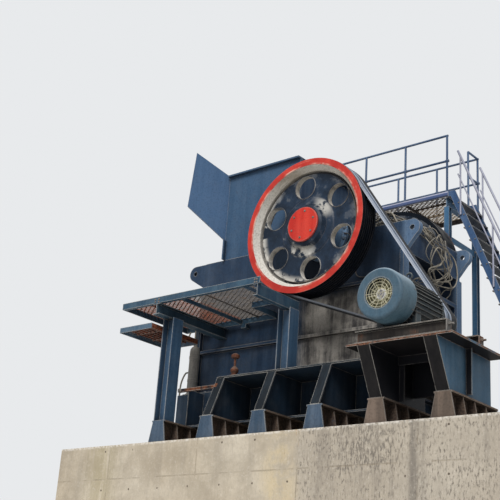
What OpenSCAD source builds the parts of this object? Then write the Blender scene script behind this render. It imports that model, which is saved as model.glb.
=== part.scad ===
// Jaw crusher on a concrete foundation, with its motor, belt drive, platforms and stair.
// Millimetres. X runs from the feed end to the motor end, Y away from the drive side, Z up.
// The origin is on the ground, below the crankshaft and half way between the side plates.

/* [Foundation] */
// Length of each concrete wall
wall_length = 7200; // [6800:50:9000]
// Thickness of each concrete wall
wall_thickness = 1100; // [1050:10:1400]
// Height of the concrete walls above the ground
wall_height = 3000; // [1500:50:5000]
// Clear width between the two walls, where crushed stone falls
wall_gap = 1950; // [1900:10:2000]

/* [Pedestals] */
// Distance from one pedestal to the next
pedestal_pitch = 880; // [860:5:900]
// Height of a pedestal
pedestal_height = 320; // [250:10:450]
// Width of a pedestal under its top plate
pedestal_top_w = 200; // [180:5:230]
// Width of a pedestal at its foot
pedestal_foot_w = 310; // [260:5:340]
// Length of a pedestal across the wall
pedestal_length = 1080; // [1000:10:1090]
// Distance from the wall's outer face to the pedestals
pedestal_setback = 115; // [60:5:130]
// Plate thickness in pedestals and brackets
plate_t = 20; // [15:1:25]

/* [Base girders] */
// Height of the base girders
girder_height = 570; // [500:10:650]
// Thickness of the girder flanges
flange_t = 25; // [20:1:35]
// How far the girder's top flange reaches from the middle plane
girder_top_reach = 1735; // [1700:5:1760]
// How far the girder's bottom flange reaches from the middle plane
girder_foot_reach = 1415; // [1380:5:1450]
// Width of the sloped bracket bands
band_w = 135; // [120:5:180]

/* [Crusher body] */
// Width over the two side plates
body_width = 1450; // [1400:10:1500]
// Thickness of a side plate
side_t = 80; // [60:5:90]
// Distance from the shaft to the feed end of the body
body_front = 2320; // [2250:10:2350]
// Distance from the shaft to the motor end of the body
body_rear = 1330; // [1300:10:1360]
// Height of the crankshaft above the top of the base girders
shaft_rise = 2180; // [2150:10:2250]
// Height of the hopper sides above the crankshaft
hopper_rise = 1425; // [1380:5:1500]
// Radius of the holes in the lifting lugs
lug_hole_r = 35; // [30:1:45]
// Thickness of the wear liners
liner_t = 110; // [90:5:120]
// Number of teeth across each jaw liner
jaw_teeth = 11; // [9:1:13]
// Discharge gap between the jaw liners
discharge_gap = 190; // [150:5:220]

/* [Crankshaft and wheels] */
// Radius of the belt wheel and the flywheel
wheel_r = 1000; // [950:5:1020]
// Width of the wheel rims
wheel_w = 320; // [310:5:340]
// Radius of the crankshaft in its bearings
shaft_r = 150; // [120:5:160]
// Offset of the crank journal
crank_offset = 18; // [12:1:22]
// Gap between the side plate and the back of a wheel
wheel_standoff = 250; // [240:5:280]
// Radius of the red hub caps
hub_cap_r = 256; // [240:2:270]
// Radius of the round holes in the wheel webs
web_hole_r = 170; // [140:5:170]
// Number of round holes in each wheel web
web_holes = 6; // [4:1:7]

/* [Belt drive] */
// Number of belts
belt_count = 6; // [4:1:6]
// Distance from one belt to the next
belt_pitch = 44; // [40:1:46]
// Radius of the motor pulley
pulley_r = 200; // [180:5:220]
// Distance from the crankshaft to the motor along the body
motor_x = 2030; // [2000:10:2060]
// Gap between a belt and its groove
belt_gap = 0.5; // [0.3:0.1:0.8]

/* [Motor and stand] */
// Height of the motor shaft above the motor's feet
motor_centre_h = 355; // [345:5:365]
// Radius of the motor's fan cowl
cowl_r = 311; // [300:1:320]
// Distance from the middle plane to the cowl's face
cowl_face = 2425; // [2400:5:2450]
// Length of the fan cowl
cowl_length = 330; // [300:10:360]
// Number of cooling fins round the motor
motor_fins = 36; // [24:2:40]
// Number of fan blades
fan_blades = 12; // [8:1:14]
// Height of the motor's base frame
rail_h = 150; // [130:5:180]
// Width of the motor stand's deck
stand_width = 1410; // [1380:10:1440]
// How far the motor stand reaches from the middle plane
stand_reach = 2250; // [2200:10:2300]
// Width of the boxed brackets under the motor stand
stand_band_w = 170; // [150:5:190]

/* [Service platform] */
// Height of the platform deck above the girder's top
platform_rise = 1140; // [1120:5:1150]
// How far the platform reaches from the middle plane
platform_reach = 2175; // [2150:5:2250]
// Distance from the shaft to the feed end of the platform
platform_front = 2535; // [2500:5:2600]
// Depth of the beams under the platform
beam_h = 160; // [140:5:180]
// Width of the platform's posts
post_w = 200; // [180:5:210]
// Height of the channels round the decks
channel_h = 90; // [80:5:120]

/* [Walkway and stair] */
// Height of the rear walkway above the girder's top
walkway_rise = 3510; // [3450:10:3600]
// Width of the rear walkway
walkway_w = 1095; // [1000:5:1150]
// Height of the handrails
rail_height = 1000; // [950:10:1200]
// Radius of the handrail tubes
tube_r = 18; // [15:1:25]
// Slope of the stair in degrees
stair_slope = 67; // [64:1:70]
// Width of the stair over its sides
stair_w = 700; // [600:10:740]
// Number of treads on the stair
tread_count = 19; // [16:1:21]

/* [Hidden] */

$fn = 64;

// Heights
top_of_wall = wall_height;
girder_z = top_of_wall + pedestal_height;
girder_top = girder_z + girder_height;
shaft_z = girder_top + shaft_rise;
hopper_top = shaft_z + hopper_rise;
platform_top = girder_top + platform_rise;
walkway_top = girder_top + walkway_rise;

// Foundation
wall_inner = wall_gap / 2;
wall_outer = wall_inner + wall_thickness;

// Pedestals
pedestal_outer = wall_outer - pedestal_setback;
pedestal_inner = pedestal_outer - pedestal_length;
first_pedestal_x = -1800;
near_pedestal_count = 6;
far_pedestal_count = 4;
function pedestal_x(i) = first_pedestal_x + i * pedestal_pitch;
pedestal_ribs = 5;
rib_t = 14;

// Base girders
girder_x0 = -body_front;
girder_x1 = body_rear + 140;
girder_inner = 600;
web_outer = 1100;
web_inner = 820;
tie_drop = 100;
tie_h = 45;

// Crusher body
side_out = body_width / 2;
side_in = side_out - side_t;
jaw_back_x = -1700;
fixed_face_x = jaw_back_x + liner_t;
jaw_bottom_z = girder_top + 260;
front_top = shaft_z + 320;
mouth_x = -1960;
hopper_rear_x = -550;
hopper_t = 40;
cheek_flare = 640;
cheek_t = 20;
feed_rise = 530;
cheek_rise = 365;
seat_gap = 0.3;
deck_lift = 15;
lug_front_hole_x = -body_front - 220;
lug_rear_hole_x = body_rear + 90;
lug_hole_z = shaft_z - 125;
lug_round_r = 120;
lug_depth = 405;

// Swing jaw
jaw_play = 15;
jaw_half_w = side_in - jaw_play;
jaw_top = [-470, shaft_z + 450];
jaw_tip = [fixed_face_x + discharge_gap + liner_t * 1.06, jaw_bottom_z];
jaw_dir = (jaw_tip - jaw_top) / norm(jaw_tip - jaw_top);
jaw_normal = [jaw_dir[1], -jaw_dir[0]];
journal_r = shaft_r + 25;
journal_half = 560;
jaw_bore_r = journal_r + crank_offset + 5;
jaw_boss_r = 360;
tooth_h = 32;

// Toggle and tension rods
toggle_r = 45;
toggle_gap = 0.5;
mouth_d = 60;
mouth_half_h = 90;
toggle_front = [-800, girder_top + 610];
toggle_back = [250, girder_top + 810];
toggle_half_w = 480;
rear_box_x0 = 340;
rear_box_z0 = girder_top + 470;
rear_box_z1 = girder_top + 1360;
rod_r = 30;
rod_y = 300;
rod_z = girder_top + 330;
rod_start_x = -840;
spring_l = 330;

// Crankshaft and wheels
wheel_back = side_out + wheel_standoff;
wheel_face = wheel_back + wheel_w;
bearing_gap = 0.05;
housing_r = 380;
housing_end = wheel_back - 30;
cap_t = 28;
hole_circle = 630;
first_hole = 37.3;

// Belts, as a section below the rim's outer edge
belt_top_w = 32;
belt_foot_w = 24;
belt_depth = 20;
groove_extra = 5;
band_t = 5;
belt_half_w = (belt_count - 1) * belt_pitch / 2 + belt_top_w / 2 + 2;
deck_z = girder_top + deck_lift;
motor_z = deck_z + rail_h + motor_centre_h;
drive_d = norm([motor_x, shaft_z - motor_z]);
drive_dir = atan2(motor_z - shaft_z, motor_x);
wrap = acos((wheel_r - pulley_r) / drive_d);
span_l = sqrt(pow(drive_d, 2) - pow(wheel_r - pulley_r, 2));

// Motor and stand
stand_x0 = girder_x1;
stand_x1 = stand_x0 + stand_width;
stand_inner = 1000;
motor_back = 1380;
motor_bell = 70;
motor_body_r = 285;
fin_h = 32;
fin_t = 7;
motor_shaft_r = 45;
opening_r = 190;
foot_x = 250;
foot_w = 150;

// Platform
platform_x1 = 30;
grating_x1 = -300;
deck_cross_x = -1430;
platform_inner = side_out + 75;
wheel_notch_x = -760;
wheel_notch_y = wheel_face + 65;
beam1_x = first_pedestal_x - 35;
beam1_w = 130;
beam2_w = 75;
beam2_x = 0;
post2_x = -30;
beam_t = 12;
beam_z1 = platform_top - channel_h;
beam_z0 = beam_z1 - beam_h;
post1_y = pedestal_outer - 110;
post2_y = 1460;
bar_t = 6;
bar_h = 30;
bar_pitch = 75;

// Walkway and stair
walkway_x0 = -1600;
walkway_x1 = 800;
walkway_inner = cowl_face - walkway_w;
walkway_beam_z0 = walkway_top - channel_h - 160;
walkway_post_w = 90;
walkway_post_xs = [-1360, walkway_x1 - walkway_post_w / 2 - 2];
walkway_tie_z = walkway_top - 800;
walkway_post_y = cowl_face - 125;
stair_y0 = walkway_inner;
stair_y1 = stair_y0 + stair_w;
stair_h = walkway_top - top_of_wall;
stair_nose = 120;
stringer_d = 105;
stringer_t = 14;
knee_h = 550;
post_r = tube_r - 4;
knee_r = tube_r - 7;

// Colours
c_body = [0.24, 0.33, 0.43];
c_steel = [0.22, 0.34, 0.40];
c_base = [0.14, 0.23, 0.33];
c_red = [0.79, 0.30, 0.25];
c_motor = [0.37, 0.51, 0.57];
c_concrete = [0.75, 0.71, 0.63];
c_rust = [0.47, 0.28, 0.18];
c_black = [0.10, 0.10, 0.11];
c_liner = [0.40, 0.38, 0.36];
c_rail = [0.62, 0.66, 0.70];

// A box given by its lowest and highest corners
module block(x0, x1, y0, y1, z0, z1) {
    translate([x0, y0, z0]) cube([x1 - x0, y1 - y0, z1 - z0]);
}

// The same box on the drive side, given by distances from the middle plane
module near_block(x0, x1, d0, d1, z0, z1) {
    block(x0, x1, -d1, -d0, z0, z1);
}

// Whatever is drawn for the drive side, on the other side
module on_far_side() {
    mirror([0, 1, 0]) children();
}

// An outline in X and Z, extruded from the plane y0 towards the drive side
module plate_xz(y0, t) {
    translate([0, y0, 0]) rotate([90, 0, 0]) linear_extrude(t) children();
}

// An outline in Y and Z, extruded along X from x0
module plate_yz(x0, t) {
    translate([x0, 0, 0]) rotate([90, 0, 90]) linear_extrude(t) children();
}

// A round bar along Y, between two distances on the drive side
module near_bar(x, z, r, d0, d1) {
    translate([x, -d0, z]) rotate([90, 0, 0]) cylinder(r = r, h = d1 - d0);
}

// A tube or bar between two points
module rod_between(a, b, r, sides = 16) {
    v = b - a;
    l = norm(v);
    translate(a) rotate([0, acos(v[2] / l), atan2(v[1], v[0])]) cylinder(r = r, h = l, $fn = sides);
}

// An upright or level H section of the given length along Z, centred on the origin
module h_section(w, h, l) {
    translate([-w / 2, -h / 2, 0]) cube([w, beam_t, l]);
    translate([-w / 2, h / 2 - beam_t, 0]) cube([w, beam_t, l]);
    translate([-beam_t / 2, -h / 2, 0]) cube([beam_t, h, l]);
}

// An H section beam along Y between two distances on the drive side
module near_beam(x, w, d0, d1, z0, z1) {
    for (z = [z0, z1 - beam_t]) near_block(x - w / 2, x + w / 2, d0, d1, z, z + beam_t);
    near_block(x - beam_t / 2, x + beam_t / 2, d0, d1, z0, z1);
}

// Bars of a grating inside a frame, with a cross bar every few bars
module grating(x0, x1, y0, y1, z_top) {
    n = floor((x1 - x0) / bar_pitch);
    step = (x1 - x0 - bar_t) / n;
    for (i = [0 : n])
        block(x0 + i * step, x0 + i * step + bar_t, y0, y1, z_top - bar_h, z_top);
    m = max(2, floor((y1 - y0) / 300));
    cross_step = (y1 - y0 - bar_t) / m;
    for (j = [0 : m])
        block(x0, x1, y0 + j * cross_step, y0 + j * cross_step + bar_t, z_top - bar_h + 5, z_top - 2);
}

// Foundation

module near_foundation_wall() {
    color(c_concrete)
    near_block(-wall_length / 2, wall_length / 2, wall_inner, wall_outer, 0, wall_height);
}

module far_foundation_wall() {
    on_far_side() near_foundation_wall();
}

// A pedestal: foot and top plate, a long web and trapezoid ribs across it
module pedestal(x) {
    rib_step = (pedestal_length - rib_t) / (pedestal_ribs - 1);
    near_block(x - pedestal_foot_w / 2 - 15, x + pedestal_foot_w / 2 + 15,
        pedestal_inner, pedestal_outer, top_of_wall, top_of_wall + plate_t);
    near_block(x - pedestal_top_w / 2 - 15, x + pedestal_top_w / 2 + 15,
        pedestal_inner, pedestal_outer, girder_z - plate_t, girder_z);
    near_block(x - rib_t / 2, x + rib_t / 2, pedestal_inner, pedestal_outer,
        top_of_wall + plate_t, girder_z - plate_t);
    for (k = [0 : pedestal_ribs - 1])
        translate([x, 0, 0])
        plate_xz(-pedestal_inner - k * rib_step, rib_t)
        polygon([[-pedestal_foot_w / 2, top_of_wall + plate_t], [pedestal_foot_w / 2, top_of_wall + plate_t],
            [pedestal_top_w / 2, girder_z - plate_t], [-pedestal_top_w / 2, girder_z - plate_t]]);
}

module near_pedestals() {
    color(c_base)
    for (i = [0 : near_pedestal_count - 1]) pedestal(pedestal_x(i));
}

module far_pedestals() {
    color(c_base)
    on_far_side() for (i = [0 : far_pedestal_count - 1]) pedestal(pedestal_x(i));
}

// A bracket under an overhang: an upright web with a sloped band on its outer edge
module bracket(x, w, inner, foot_reach, top_reach, z0, z1) {
    plate_yz(x - plate_t / 2, plate_t)
    polygon([[-inner, z0], [-foot_reach + plate_t, z0], [-top_reach + plate_t, z1], [-inner, z1]]);
    plate_yz(x - w / 2, w)
    polygon([[-foot_reach, z0], [-foot_reach + plate_t, z0], [-top_reach + plate_t, z1], [-top_reach, z1]]);
}

module girder_section() {
    near_block(girder_x0, girder_x1, girder_inner, girder_foot_reach, girder_z, girder_z + flange_t);
    near_block(girder_x0, girder_x1, girder_inner, girder_top_reach, girder_top - flange_t, girder_top);
    for (y = [web_outer, web_inner])
        near_block(girder_x0, girder_x1, y - plate_t, y, girder_z + flange_t, girder_top - flange_t);
    for (i = [0 : far_pedestal_count - 1])
        near_block(pedestal_x(i) - rib_t / 2, pedestal_x(i) + rib_t / 2, girder_inner, girder_foot_reach,
            girder_z + flange_t, girder_top - flange_t);
    for (i = [1 : far_pedestal_count - 1])
        bracket(pedestal_x(i), band_w, web_outer - 1, pedestal_outer, girder_top_reach,
            girder_z, girder_top - flange_t);
}

module near_base_girder() {
    post_bay = pedestal_x(0) + post_w / 2;
    color(c_base) difference() {
        girder_section();
        near_block(girder_x0 - 1, pedestal_x(1) - band_w / 2, web_outer, girder_top_reach + 1,
            girder_top - flange_t - 1, girder_top + 1);
    }
    color(c_base)
    near_block(post_bay, pedestal_x(1) - plate_t / 2, girder_top_reach - tie_h, girder_top_reach,
        girder_top - tie_drop - tie_h, girder_top - tie_drop);
}

module far_base_girder() {
    color(c_base) on_far_side() girder_section();
}

// Cross beams between the two base girders, H sections with a level flange above and below
module base_cross_beams() {
    half_w = 110;
    web_half = 10;
    color(c_base)
    for (x = [pedestal_x(0), pedestal_x(1), pedestal_x(3)]) {
        for (z = [girder_z, girder_top - flange_t])
            block(x - half_w, x + half_w, -girder_inner, girder_inner, z, z + flange_t);
        block(x - web_half, x + web_half, -girder_inner, girder_inner,
            girder_z + flange_t, girder_top - flange_t);
    }
}

// Motor stand: deck with stiffeners, and boxed brackets over the last two pedestals
module motor_stand() {
    stand_pedestals = [pedestal_x(4), pedestal_x(5)];
    edge_h = 110;
    edge_inset = 30;
    deck_foot = deck_z - flange_t;
    stiffener_ds = [stand_inner + plate_t, 1290, 1620];
    tie_d = 1270;
    tie_lift = 120;
    rib_d = 1570;
    rib_reach = 70;
    color(c_steel) {
        near_block(stand_x0, stand_x1, stand_inner, stand_reach, deck_foot, deck_z);
        for (d = stiffener_ds)
            near_block(stand_x0, stand_pedestals[1], d - plate_t, d, deck_foot - edge_h, deck_foot);
        for (x = stand_pedestals) {
            for (side = [-1, 1])
                plate_yz(x + side * (stand_band_w - plate_t) / 2 - plate_t / 2, plate_t)
                polygon([[-stand_inner, girder_z], [-pedestal_outer + edge_inset, girder_z],
                    [-stand_reach + edge_inset, deck_foot], [-stand_inner, deck_foot]]);
            plate_yz(x - stand_band_w / 2, stand_band_w)
            polygon([[-pedestal_outer, girder_z], [-pedestal_outer + edge_inset, girder_z],
                [-stand_reach + edge_inset, deck_foot], [-stand_reach, deck_foot]]);
            near_block(x - stand_band_w / 2, x + stand_band_w / 2, stand_inner, pedestal_outer - plate_t,
                girder_z, girder_z + plate_t);
            near_block(x + stand_band_w / 2, x + stand_band_w / 2 + rib_reach, rib_d, rib_d + plate_t,
                girder_z + plate_t, deck_foot);
        }
        near_block(stand_pedestals[0] + stand_band_w / 2, stand_pedestals[1] - stand_band_w / 2,
            tie_d, tie_d + plate_t, girder_z + tie_lift, deck_foot - edge_h);
    }
}

// Base frame under the motor: two H section rails along the deck and two box beams under the feet
module motor_slide_rails() {
    rail_w = 110;
    rail_t = 14;
    rail_x0 = stand_x0 + 125;
    rail_x1 = stand_x1 - 90;
    front_d = stand_reach - 10 - rail_w;
    back_d = motor_back + 10;
    z1 = deck_z + rail_h;
    color(c_rust) {
        for (d = [back_d, front_d]) {
            for (z = [deck_z, z1 - rail_t]) near_block(rail_x0, rail_x1, d, d + rail_w, z, z + rail_t);
            near_block(rail_x0, rail_x1, d + (rail_w - rail_t) / 2, d + (rail_w + rail_t) / 2, deck_z, z1);
        }
        for (side = [-1, 1])
            difference() {
                near_block(motor_x + side * foot_x - foot_w / 2, motor_x + side * foot_x + foot_w / 2,
                    back_d + rail_w - 1, front_d + 1, deck_z, z1);
                near_block(motor_x + side * foot_x - foot_w / 2 + rail_t,
                    motor_x + side * foot_x + foot_w / 2 - rail_t,
                    back_d + rail_w + rail_t, front_d - rail_t, deck_z + rail_t, z1 - rail_t);
            }
    }
}

// Finned motor body with feet, terminal box, bearing bells and a bored drive end
module motor_frame() {
    body_end = cowl_face - cowl_length;
    bell_start = motor_back + motor_bell;
    foot_z = motor_z - motor_centre_h;
    foot_t = 40;
    foot_start = bell_start + 50;
    foot_end = body_end - 45;
    leg_w = 110;
    leg_x = 210;
    box_l = 270;
    box_out = 170;
    box_start = motor_back + 180;
    box_below = 90;
    box_above = 150;
    color(c_motor)
    difference() {
        union() {
            near_bar(motor_x, motor_z, motor_body_r, bell_start, body_end + 20);
            translate([motor_x, -motor_back, motor_z]) rotate([90, 0, 0])
            rotate_extrude()
            polygon([[0, 0], [120, 0], [150, 25], [motor_body_r - 20, 40], [motor_body_r + 10, motor_bell],
                [motor_body_r + 10, motor_bell + 45], [0, motor_bell + 45]]);
            for (i = [0 : motor_fins - 1])
                translate([motor_x, 0, motor_z]) rotate([0, i * 360 / motor_fins, 0])
                near_block(-fin_t / 2, fin_t / 2, bell_start + 40, body_end,
                    motor_body_r - 5, motor_body_r + fin_h);
            for (side = [-1, 1])
                near_block(motor_x + side * foot_x - foot_w / 2, motor_x + side * foot_x + foot_w / 2,
                    foot_start, foot_end, foot_z, foot_z + foot_t);
            for (side = [-1, 1], d = [foot_start + 10, foot_end - 10 - leg_w])
                near_block(motor_x + side * leg_x - leg_w / 2, motor_x + side * leg_x + leg_w / 2,
                    d, d + leg_w, foot_z + foot_t - 10, motor_z - leg_w);
            near_block(motor_x - motor_body_r - box_out, motor_x - motor_body_r + 20,
                box_start, box_start + box_l, motor_z - box_below, motor_z + box_above);
        }
        near_bar(motor_x, motor_z, motor_shaft_r + bearing_gap, motor_back - 1, body_end + 21);
    }
}

// Fan cowl: a thin drum with a rounded edge and a round opening with guard bars
module fan_cowl() {
    wall = 6;
    round_r = 40;
    body_end = cowl_face - cowl_length;
    color(c_motor) {
        translate([motor_x, -body_end, motor_z]) rotate([90, 0, 0])
        rotate_extrude()
        difference() {
            union() {
                square([cowl_r, cowl_length - round_r]);
                square([cowl_r - round_r, cowl_length]);
                translate([cowl_r - round_r, cowl_length - round_r]) circle(round_r);
            }
            translate([-1, -1]) square([cowl_r - wall + 1, cowl_length - round_r + 1]);
            translate([-1, -1]) square([cowl_r - round_r + 1, cowl_length - wall + 1]);
            translate([cowl_r - round_r, cowl_length - round_r]) circle(round_r - wall);
            translate([-1, cowl_length - 2 * wall]) square([opening_r + 1, 3 * wall]);
        }
        for (i = [0 : 2])
            translate([motor_x, 0, motor_z]) rotate([0, i * 60, 0])
            near_block(-opening_r - 6, opening_r + 6, cowl_face - 5, cowl_face, -4, 4);
    }
}

// Crusher body

// One side plate with its lifting lugs, foot flange and ribs
module side_outline() {
    lug_top = shaft_z - 5;
    difference() {
        union() {
            polygon([[-body_front, girder_top], [body_rear, girder_top], [body_rear, shaft_z - lug_depth],
                [lug_rear_hole_x + lug_round_r * 0.5, lug_hole_z - lug_round_r * 0.87],
                [lug_rear_hole_x, lug_top], [body_rear, lug_top], [body_rear, shaft_z],
                [-body_front, shaft_z], [-body_front, lug_top], [lug_front_hole_x, lug_top],
                [lug_front_hole_x - lug_round_r * 0.5, lug_hole_z - lug_round_r * 0.87],
                [-body_front, shaft_z - lug_depth]]);
            translate([lug_front_hole_x, lug_hole_z]) circle(lug_round_r);
            translate([lug_rear_hole_x, lug_hole_z]) circle(lug_round_r);
            translate([0, shaft_z]) circle(housing_r + 40);
        }
        translate([lug_front_hole_x, lug_hole_z]) circle(lug_hole_r);
        translate([lug_rear_hole_x, lug_hole_z]) circle(lug_hole_r);
        translate([0, shaft_z]) circle(shaft_r + 12);
    }
}

module side_plate() {
    rib_reach = side_out + 60;
    foot_reach = side_out + 275;
    foot_top = girder_top + 40;
    edge_w = 60;
    edge_top = shaft_z - lug_depth - 40;
    rib_levels = [700, 1350];
    level_rib_h = 45;
    gusset_t = 24;
    gusset_h = 300;
    gusset_end = foot_reach - 15;
    plate_xz(-side_in, side_t) side_outline();
    near_block(-body_front, body_rear, side_out - 1, foot_reach, girder_top, foot_top);
    near_block(-body_front, -body_front + edge_w, side_out - 1, rib_reach, foot_top, edge_top);
    near_block(body_rear - edge_w, body_rear, side_out - 1, rib_reach, foot_top, edge_top);
    for (level = rib_levels)
        near_block(-body_front + edge_w, body_rear - edge_w, side_out - 1, rib_reach,
            girder_top + level, girder_top + level + level_rib_h);
    for (i = [1 : far_pedestal_count - 1])
        plate_yz(pedestal_x(i) - gusset_t / 2, gusset_t)
        polygon([[-side_out + 1, foot_top - 1], [-gusset_end, foot_top - 1],
            [-gusset_end, foot_top + 20], [-side_out + 1, girder_top + gusset_h]]);
}

module near_side_plate() {
    color(c_body) side_plate();
}

module far_side_plate() {
    color(c_body) on_far_side() side_plate();
}

// Front wall of the body, a hollow casting that backs the fixed jaw
module front_frame() {
    wall = 60;
    back_t = 90;
    pocket_h = 450;
    pocket_pitch = 530;
    first_pocket_z = girder_top + 70;
    color(c_body)
    difference() {
        union() {
            block(-body_front, jaw_back_x, -side_in, side_in, girder_top, shaft_z);
            block(mouth_x, jaw_back_x, -side_in, side_in, shaft_z, front_top);
        }
        for (i = [0 : 3])
            block(-body_front - 1, jaw_back_x - back_t, -side_in + wall, side_in - wall,
                first_pocket_z + i * pocket_pitch, first_pocket_z + i * pocket_pitch + pocket_h);
    }
}

// Rear cross box that carries the toggle seat, with a top beam between the lugs
module rear_frame() {
    wall = 60;
    shelf_z = rear_box_z0 + 400;
    seat_depth = 110;
    seat_half_h = 130;
    top_beam_w = 260;
    color(c_body) {
        difference() {
            union() {
                block(rear_box_x0, body_rear, -side_in, side_in, rear_box_z0, rear_box_z1);
                block(rear_box_x0 - seat_depth, rear_box_x0 + 1, -toggle_half_w - 40, toggle_half_w + 40,
                    toggle_back[1] - seat_half_h, toggle_back[1] + seat_half_h);
            }
            block(rear_box_x0 + wall, body_rear + 1, -side_in + wall, side_in - wall,
                rear_box_z0 + wall, shelf_z);
            block(rear_box_x0 + wall, body_rear + 1, -side_in + wall, side_in - wall,
                shelf_z + wall, rear_box_z1 - wall);
            translate([toggle_back[0], side_in, toggle_back[1]]) rotate([90, 0, 0])
            cylinder(r = toggle_r + toggle_gap, h = 2 * side_in);
            translate([toggle_back[0], side_in, toggle_back[1]]) rotate([90, 0, 0])
            linear_extrude(2 * side_in)
            polygon([[0, -toggle_r - toggle_gap], [-mouth_d, -mouth_half_h], [-mouth_d, mouth_half_h],
                [0, toggle_r + toggle_gap]]);
        }
        block(body_rear - top_beam_w, body_rear, -side_in, side_in, shaft_z - lug_depth - 40, shaft_z - 25);
    }
}

// Hopper side above the body, with a flange strip round its edge
module hopper_side() {
    strip = 60;
    outline = [[mouth_x, shaft_z], [-housing_r - 60, shaft_z], [-housing_r - 60, shaft_z + 380],
        [hopper_rear_x, shaft_z + 500], [hopper_rear_x, hopper_top], [mouth_x, hopper_top]];
    plate_xz(-side_out + hopper_t, hopper_t) polygon(outline);
    near_block(mouth_x, mouth_x + 25, side_out - 1, side_out + strip, shaft_z, shaft_z + 320);
    near_block(mouth_x, hopper_rear_x, side_out - 1, side_out + strip, hopper_top - 25, hopper_top);
}

module near_hopper_side() {
    color(c_body) hopper_side();
}

module far_hopper_side() {
    color(c_body) on_far_side() hopper_side();
}

module hopper_back() {
    back_t = 20;
    flange_w = 80;
    foot_z = jaw_top[1] + 60;
    color(c_body) {
        block(hopper_rear_x - back_t, hopper_rear_x, -side_out + hopper_t, side_out - hopper_t,
            foot_z, hopper_top);
        for (z = [foot_z, hopper_top - 80])
            block(hopper_rear_x, hopper_rear_x + flange_w, -side_out + hopper_t, side_out - hopper_t,
                z, z + back_t);
    }
}

// Flared cheek beside the feed mouth, a flat plate turned 45 degrees outwards
module feed_cheek() {
    translate([mouth_x, -side_out, 0]) rotate([0, 0, 225]) rotate([90, 0, 0])
    linear_extrude(cheek_t)
    polygon([[0, front_top], [cheek_flare, front_top + feed_rise],
        [cheek_flare - 70, hopper_top + cheek_rise], [0, hopper_top]]);
}

module near_feed_cheek() {
    color(c_body) feed_cheek();
}

module far_feed_cheek() {
    color(c_body) on_far_side() feed_cheek();
}

// Sloping plate between the cheeks, from the front frame up and outwards
module feed_plate() {
    run = cheek_flare * cos(45);
    slope = atan2(feed_rise, run);
    length = norm([run, feed_rise]);
    half_w = side_out - cheek_t * sqrt(2) - seat_gap;
    lap = 5;
    color(c_body)
    translate([mouth_x - seat_gap - cheek_t * sin(slope), 0, front_top + lap - cheek_t * cos(slope)])
    rotate([0, slope, 0]) rotate([0, 0, 180])
    linear_extrude(cheek_t)
    polygon([[0, -half_w], [length, -half_w - run], [length, half_w + run], [0, half_w]]);
}

// Liner plate with upright teeth: an outline across the jaw, extruded along its height
module toothed_outline(half_w, t) {
    pitch = 2 * half_w / jaw_teeth;
    polygon(concat([[0, -half_w], [0, half_w]],
        [for (i = [0 : jaw_teeth - 1]) each [
            [t - tooth_h, half_w - i * pitch - 0.05 * pitch],
            [t, half_w - (i + 0.35) * pitch],
            [t, half_w - (i + 0.65) * pitch],
            [t - tooth_h, half_w - (i + 0.95) * pitch]]]));
}

module fixed_jaw_liner() {
    color(c_liner)
    translate([jaw_back_x, 0, jaw_bottom_z]) linear_extrude(front_top - 60 - jaw_bottom_z)
    toothed_outline(jaw_half_w, liner_t);
}

// Swing jaw, hung on the crank journal
module swing_jaw_outline() {
    tip_w = 180;
    seat_half_h = 150;
    difference() {
        union() {
            translate([0, shaft_z]) circle(jaw_boss_r);
            polygon([jaw_top, jaw_tip, [jaw_tip[0] + tip_w, jaw_bottom_z],
                [toggle_front[0], toggle_front[1] - seat_half_h],
                [toggle_front[0], toggle_front[1] + seat_half_h],
                [-420, shaft_z - 900], [290, shaft_z - 210], [-40, shaft_z + 350]]);
        }
        translate([0, shaft_z]) circle(jaw_bore_r);
        translate(toggle_front) circle(toggle_r + toggle_gap);
        polygon([[toggle_front[0], toggle_front[1] - toggle_r - toggle_gap],
            [toggle_front[0] + mouth_d, toggle_front[1] - mouth_half_h],
            [toggle_front[0] + mouth_d, toggle_front[1] + mouth_half_h],
            [toggle_front[0], toggle_front[1] + toggle_r + toggle_gap]]);
    }
}

module swing_jaw() {
    ear_l = 160;
    ear_half_w = 50;
    ear_half_h = 60;
    color(c_body) {
        plate_xz(jaw_half_w, 2 * jaw_half_w) swing_jaw_outline();
        for (side = [-1, 1])
            block(rod_start_x - ear_l, rod_start_x, side * rod_y - ear_half_w, side * rod_y + ear_half_w,
                rod_z - ear_half_h, rod_z + ear_half_h);
    }
}

module swing_jaw_liner() {
    length = norm(jaw_tip - jaw_top);
    lean = atan2(jaw_top[0] - jaw_tip[0], jaw_top[1] - jaw_tip[1]);
    color(c_liner)
    translate([jaw_tip[0], 0, jaw_tip[1]]) rotate([0, lean, 0])
    rotate([0, 0, 180])
    linear_extrude(length) toothed_outline(jaw_half_w, liner_t);
}

module toggle_plate() {
    v = toggle_back - toggle_front;
    color(c_liner)
    translate([toggle_front[0], toggle_half_w, toggle_front[1]]) rotate([90, 0, 0])
    linear_extrude(2 * toggle_half_w) rotate(atan2(v[1], v[0])) {
        circle(toggle_r);
        translate([norm(v), 0]) circle(toggle_r);
        translate([0, -30]) square([norm(v), 60]);
    }
}

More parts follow.
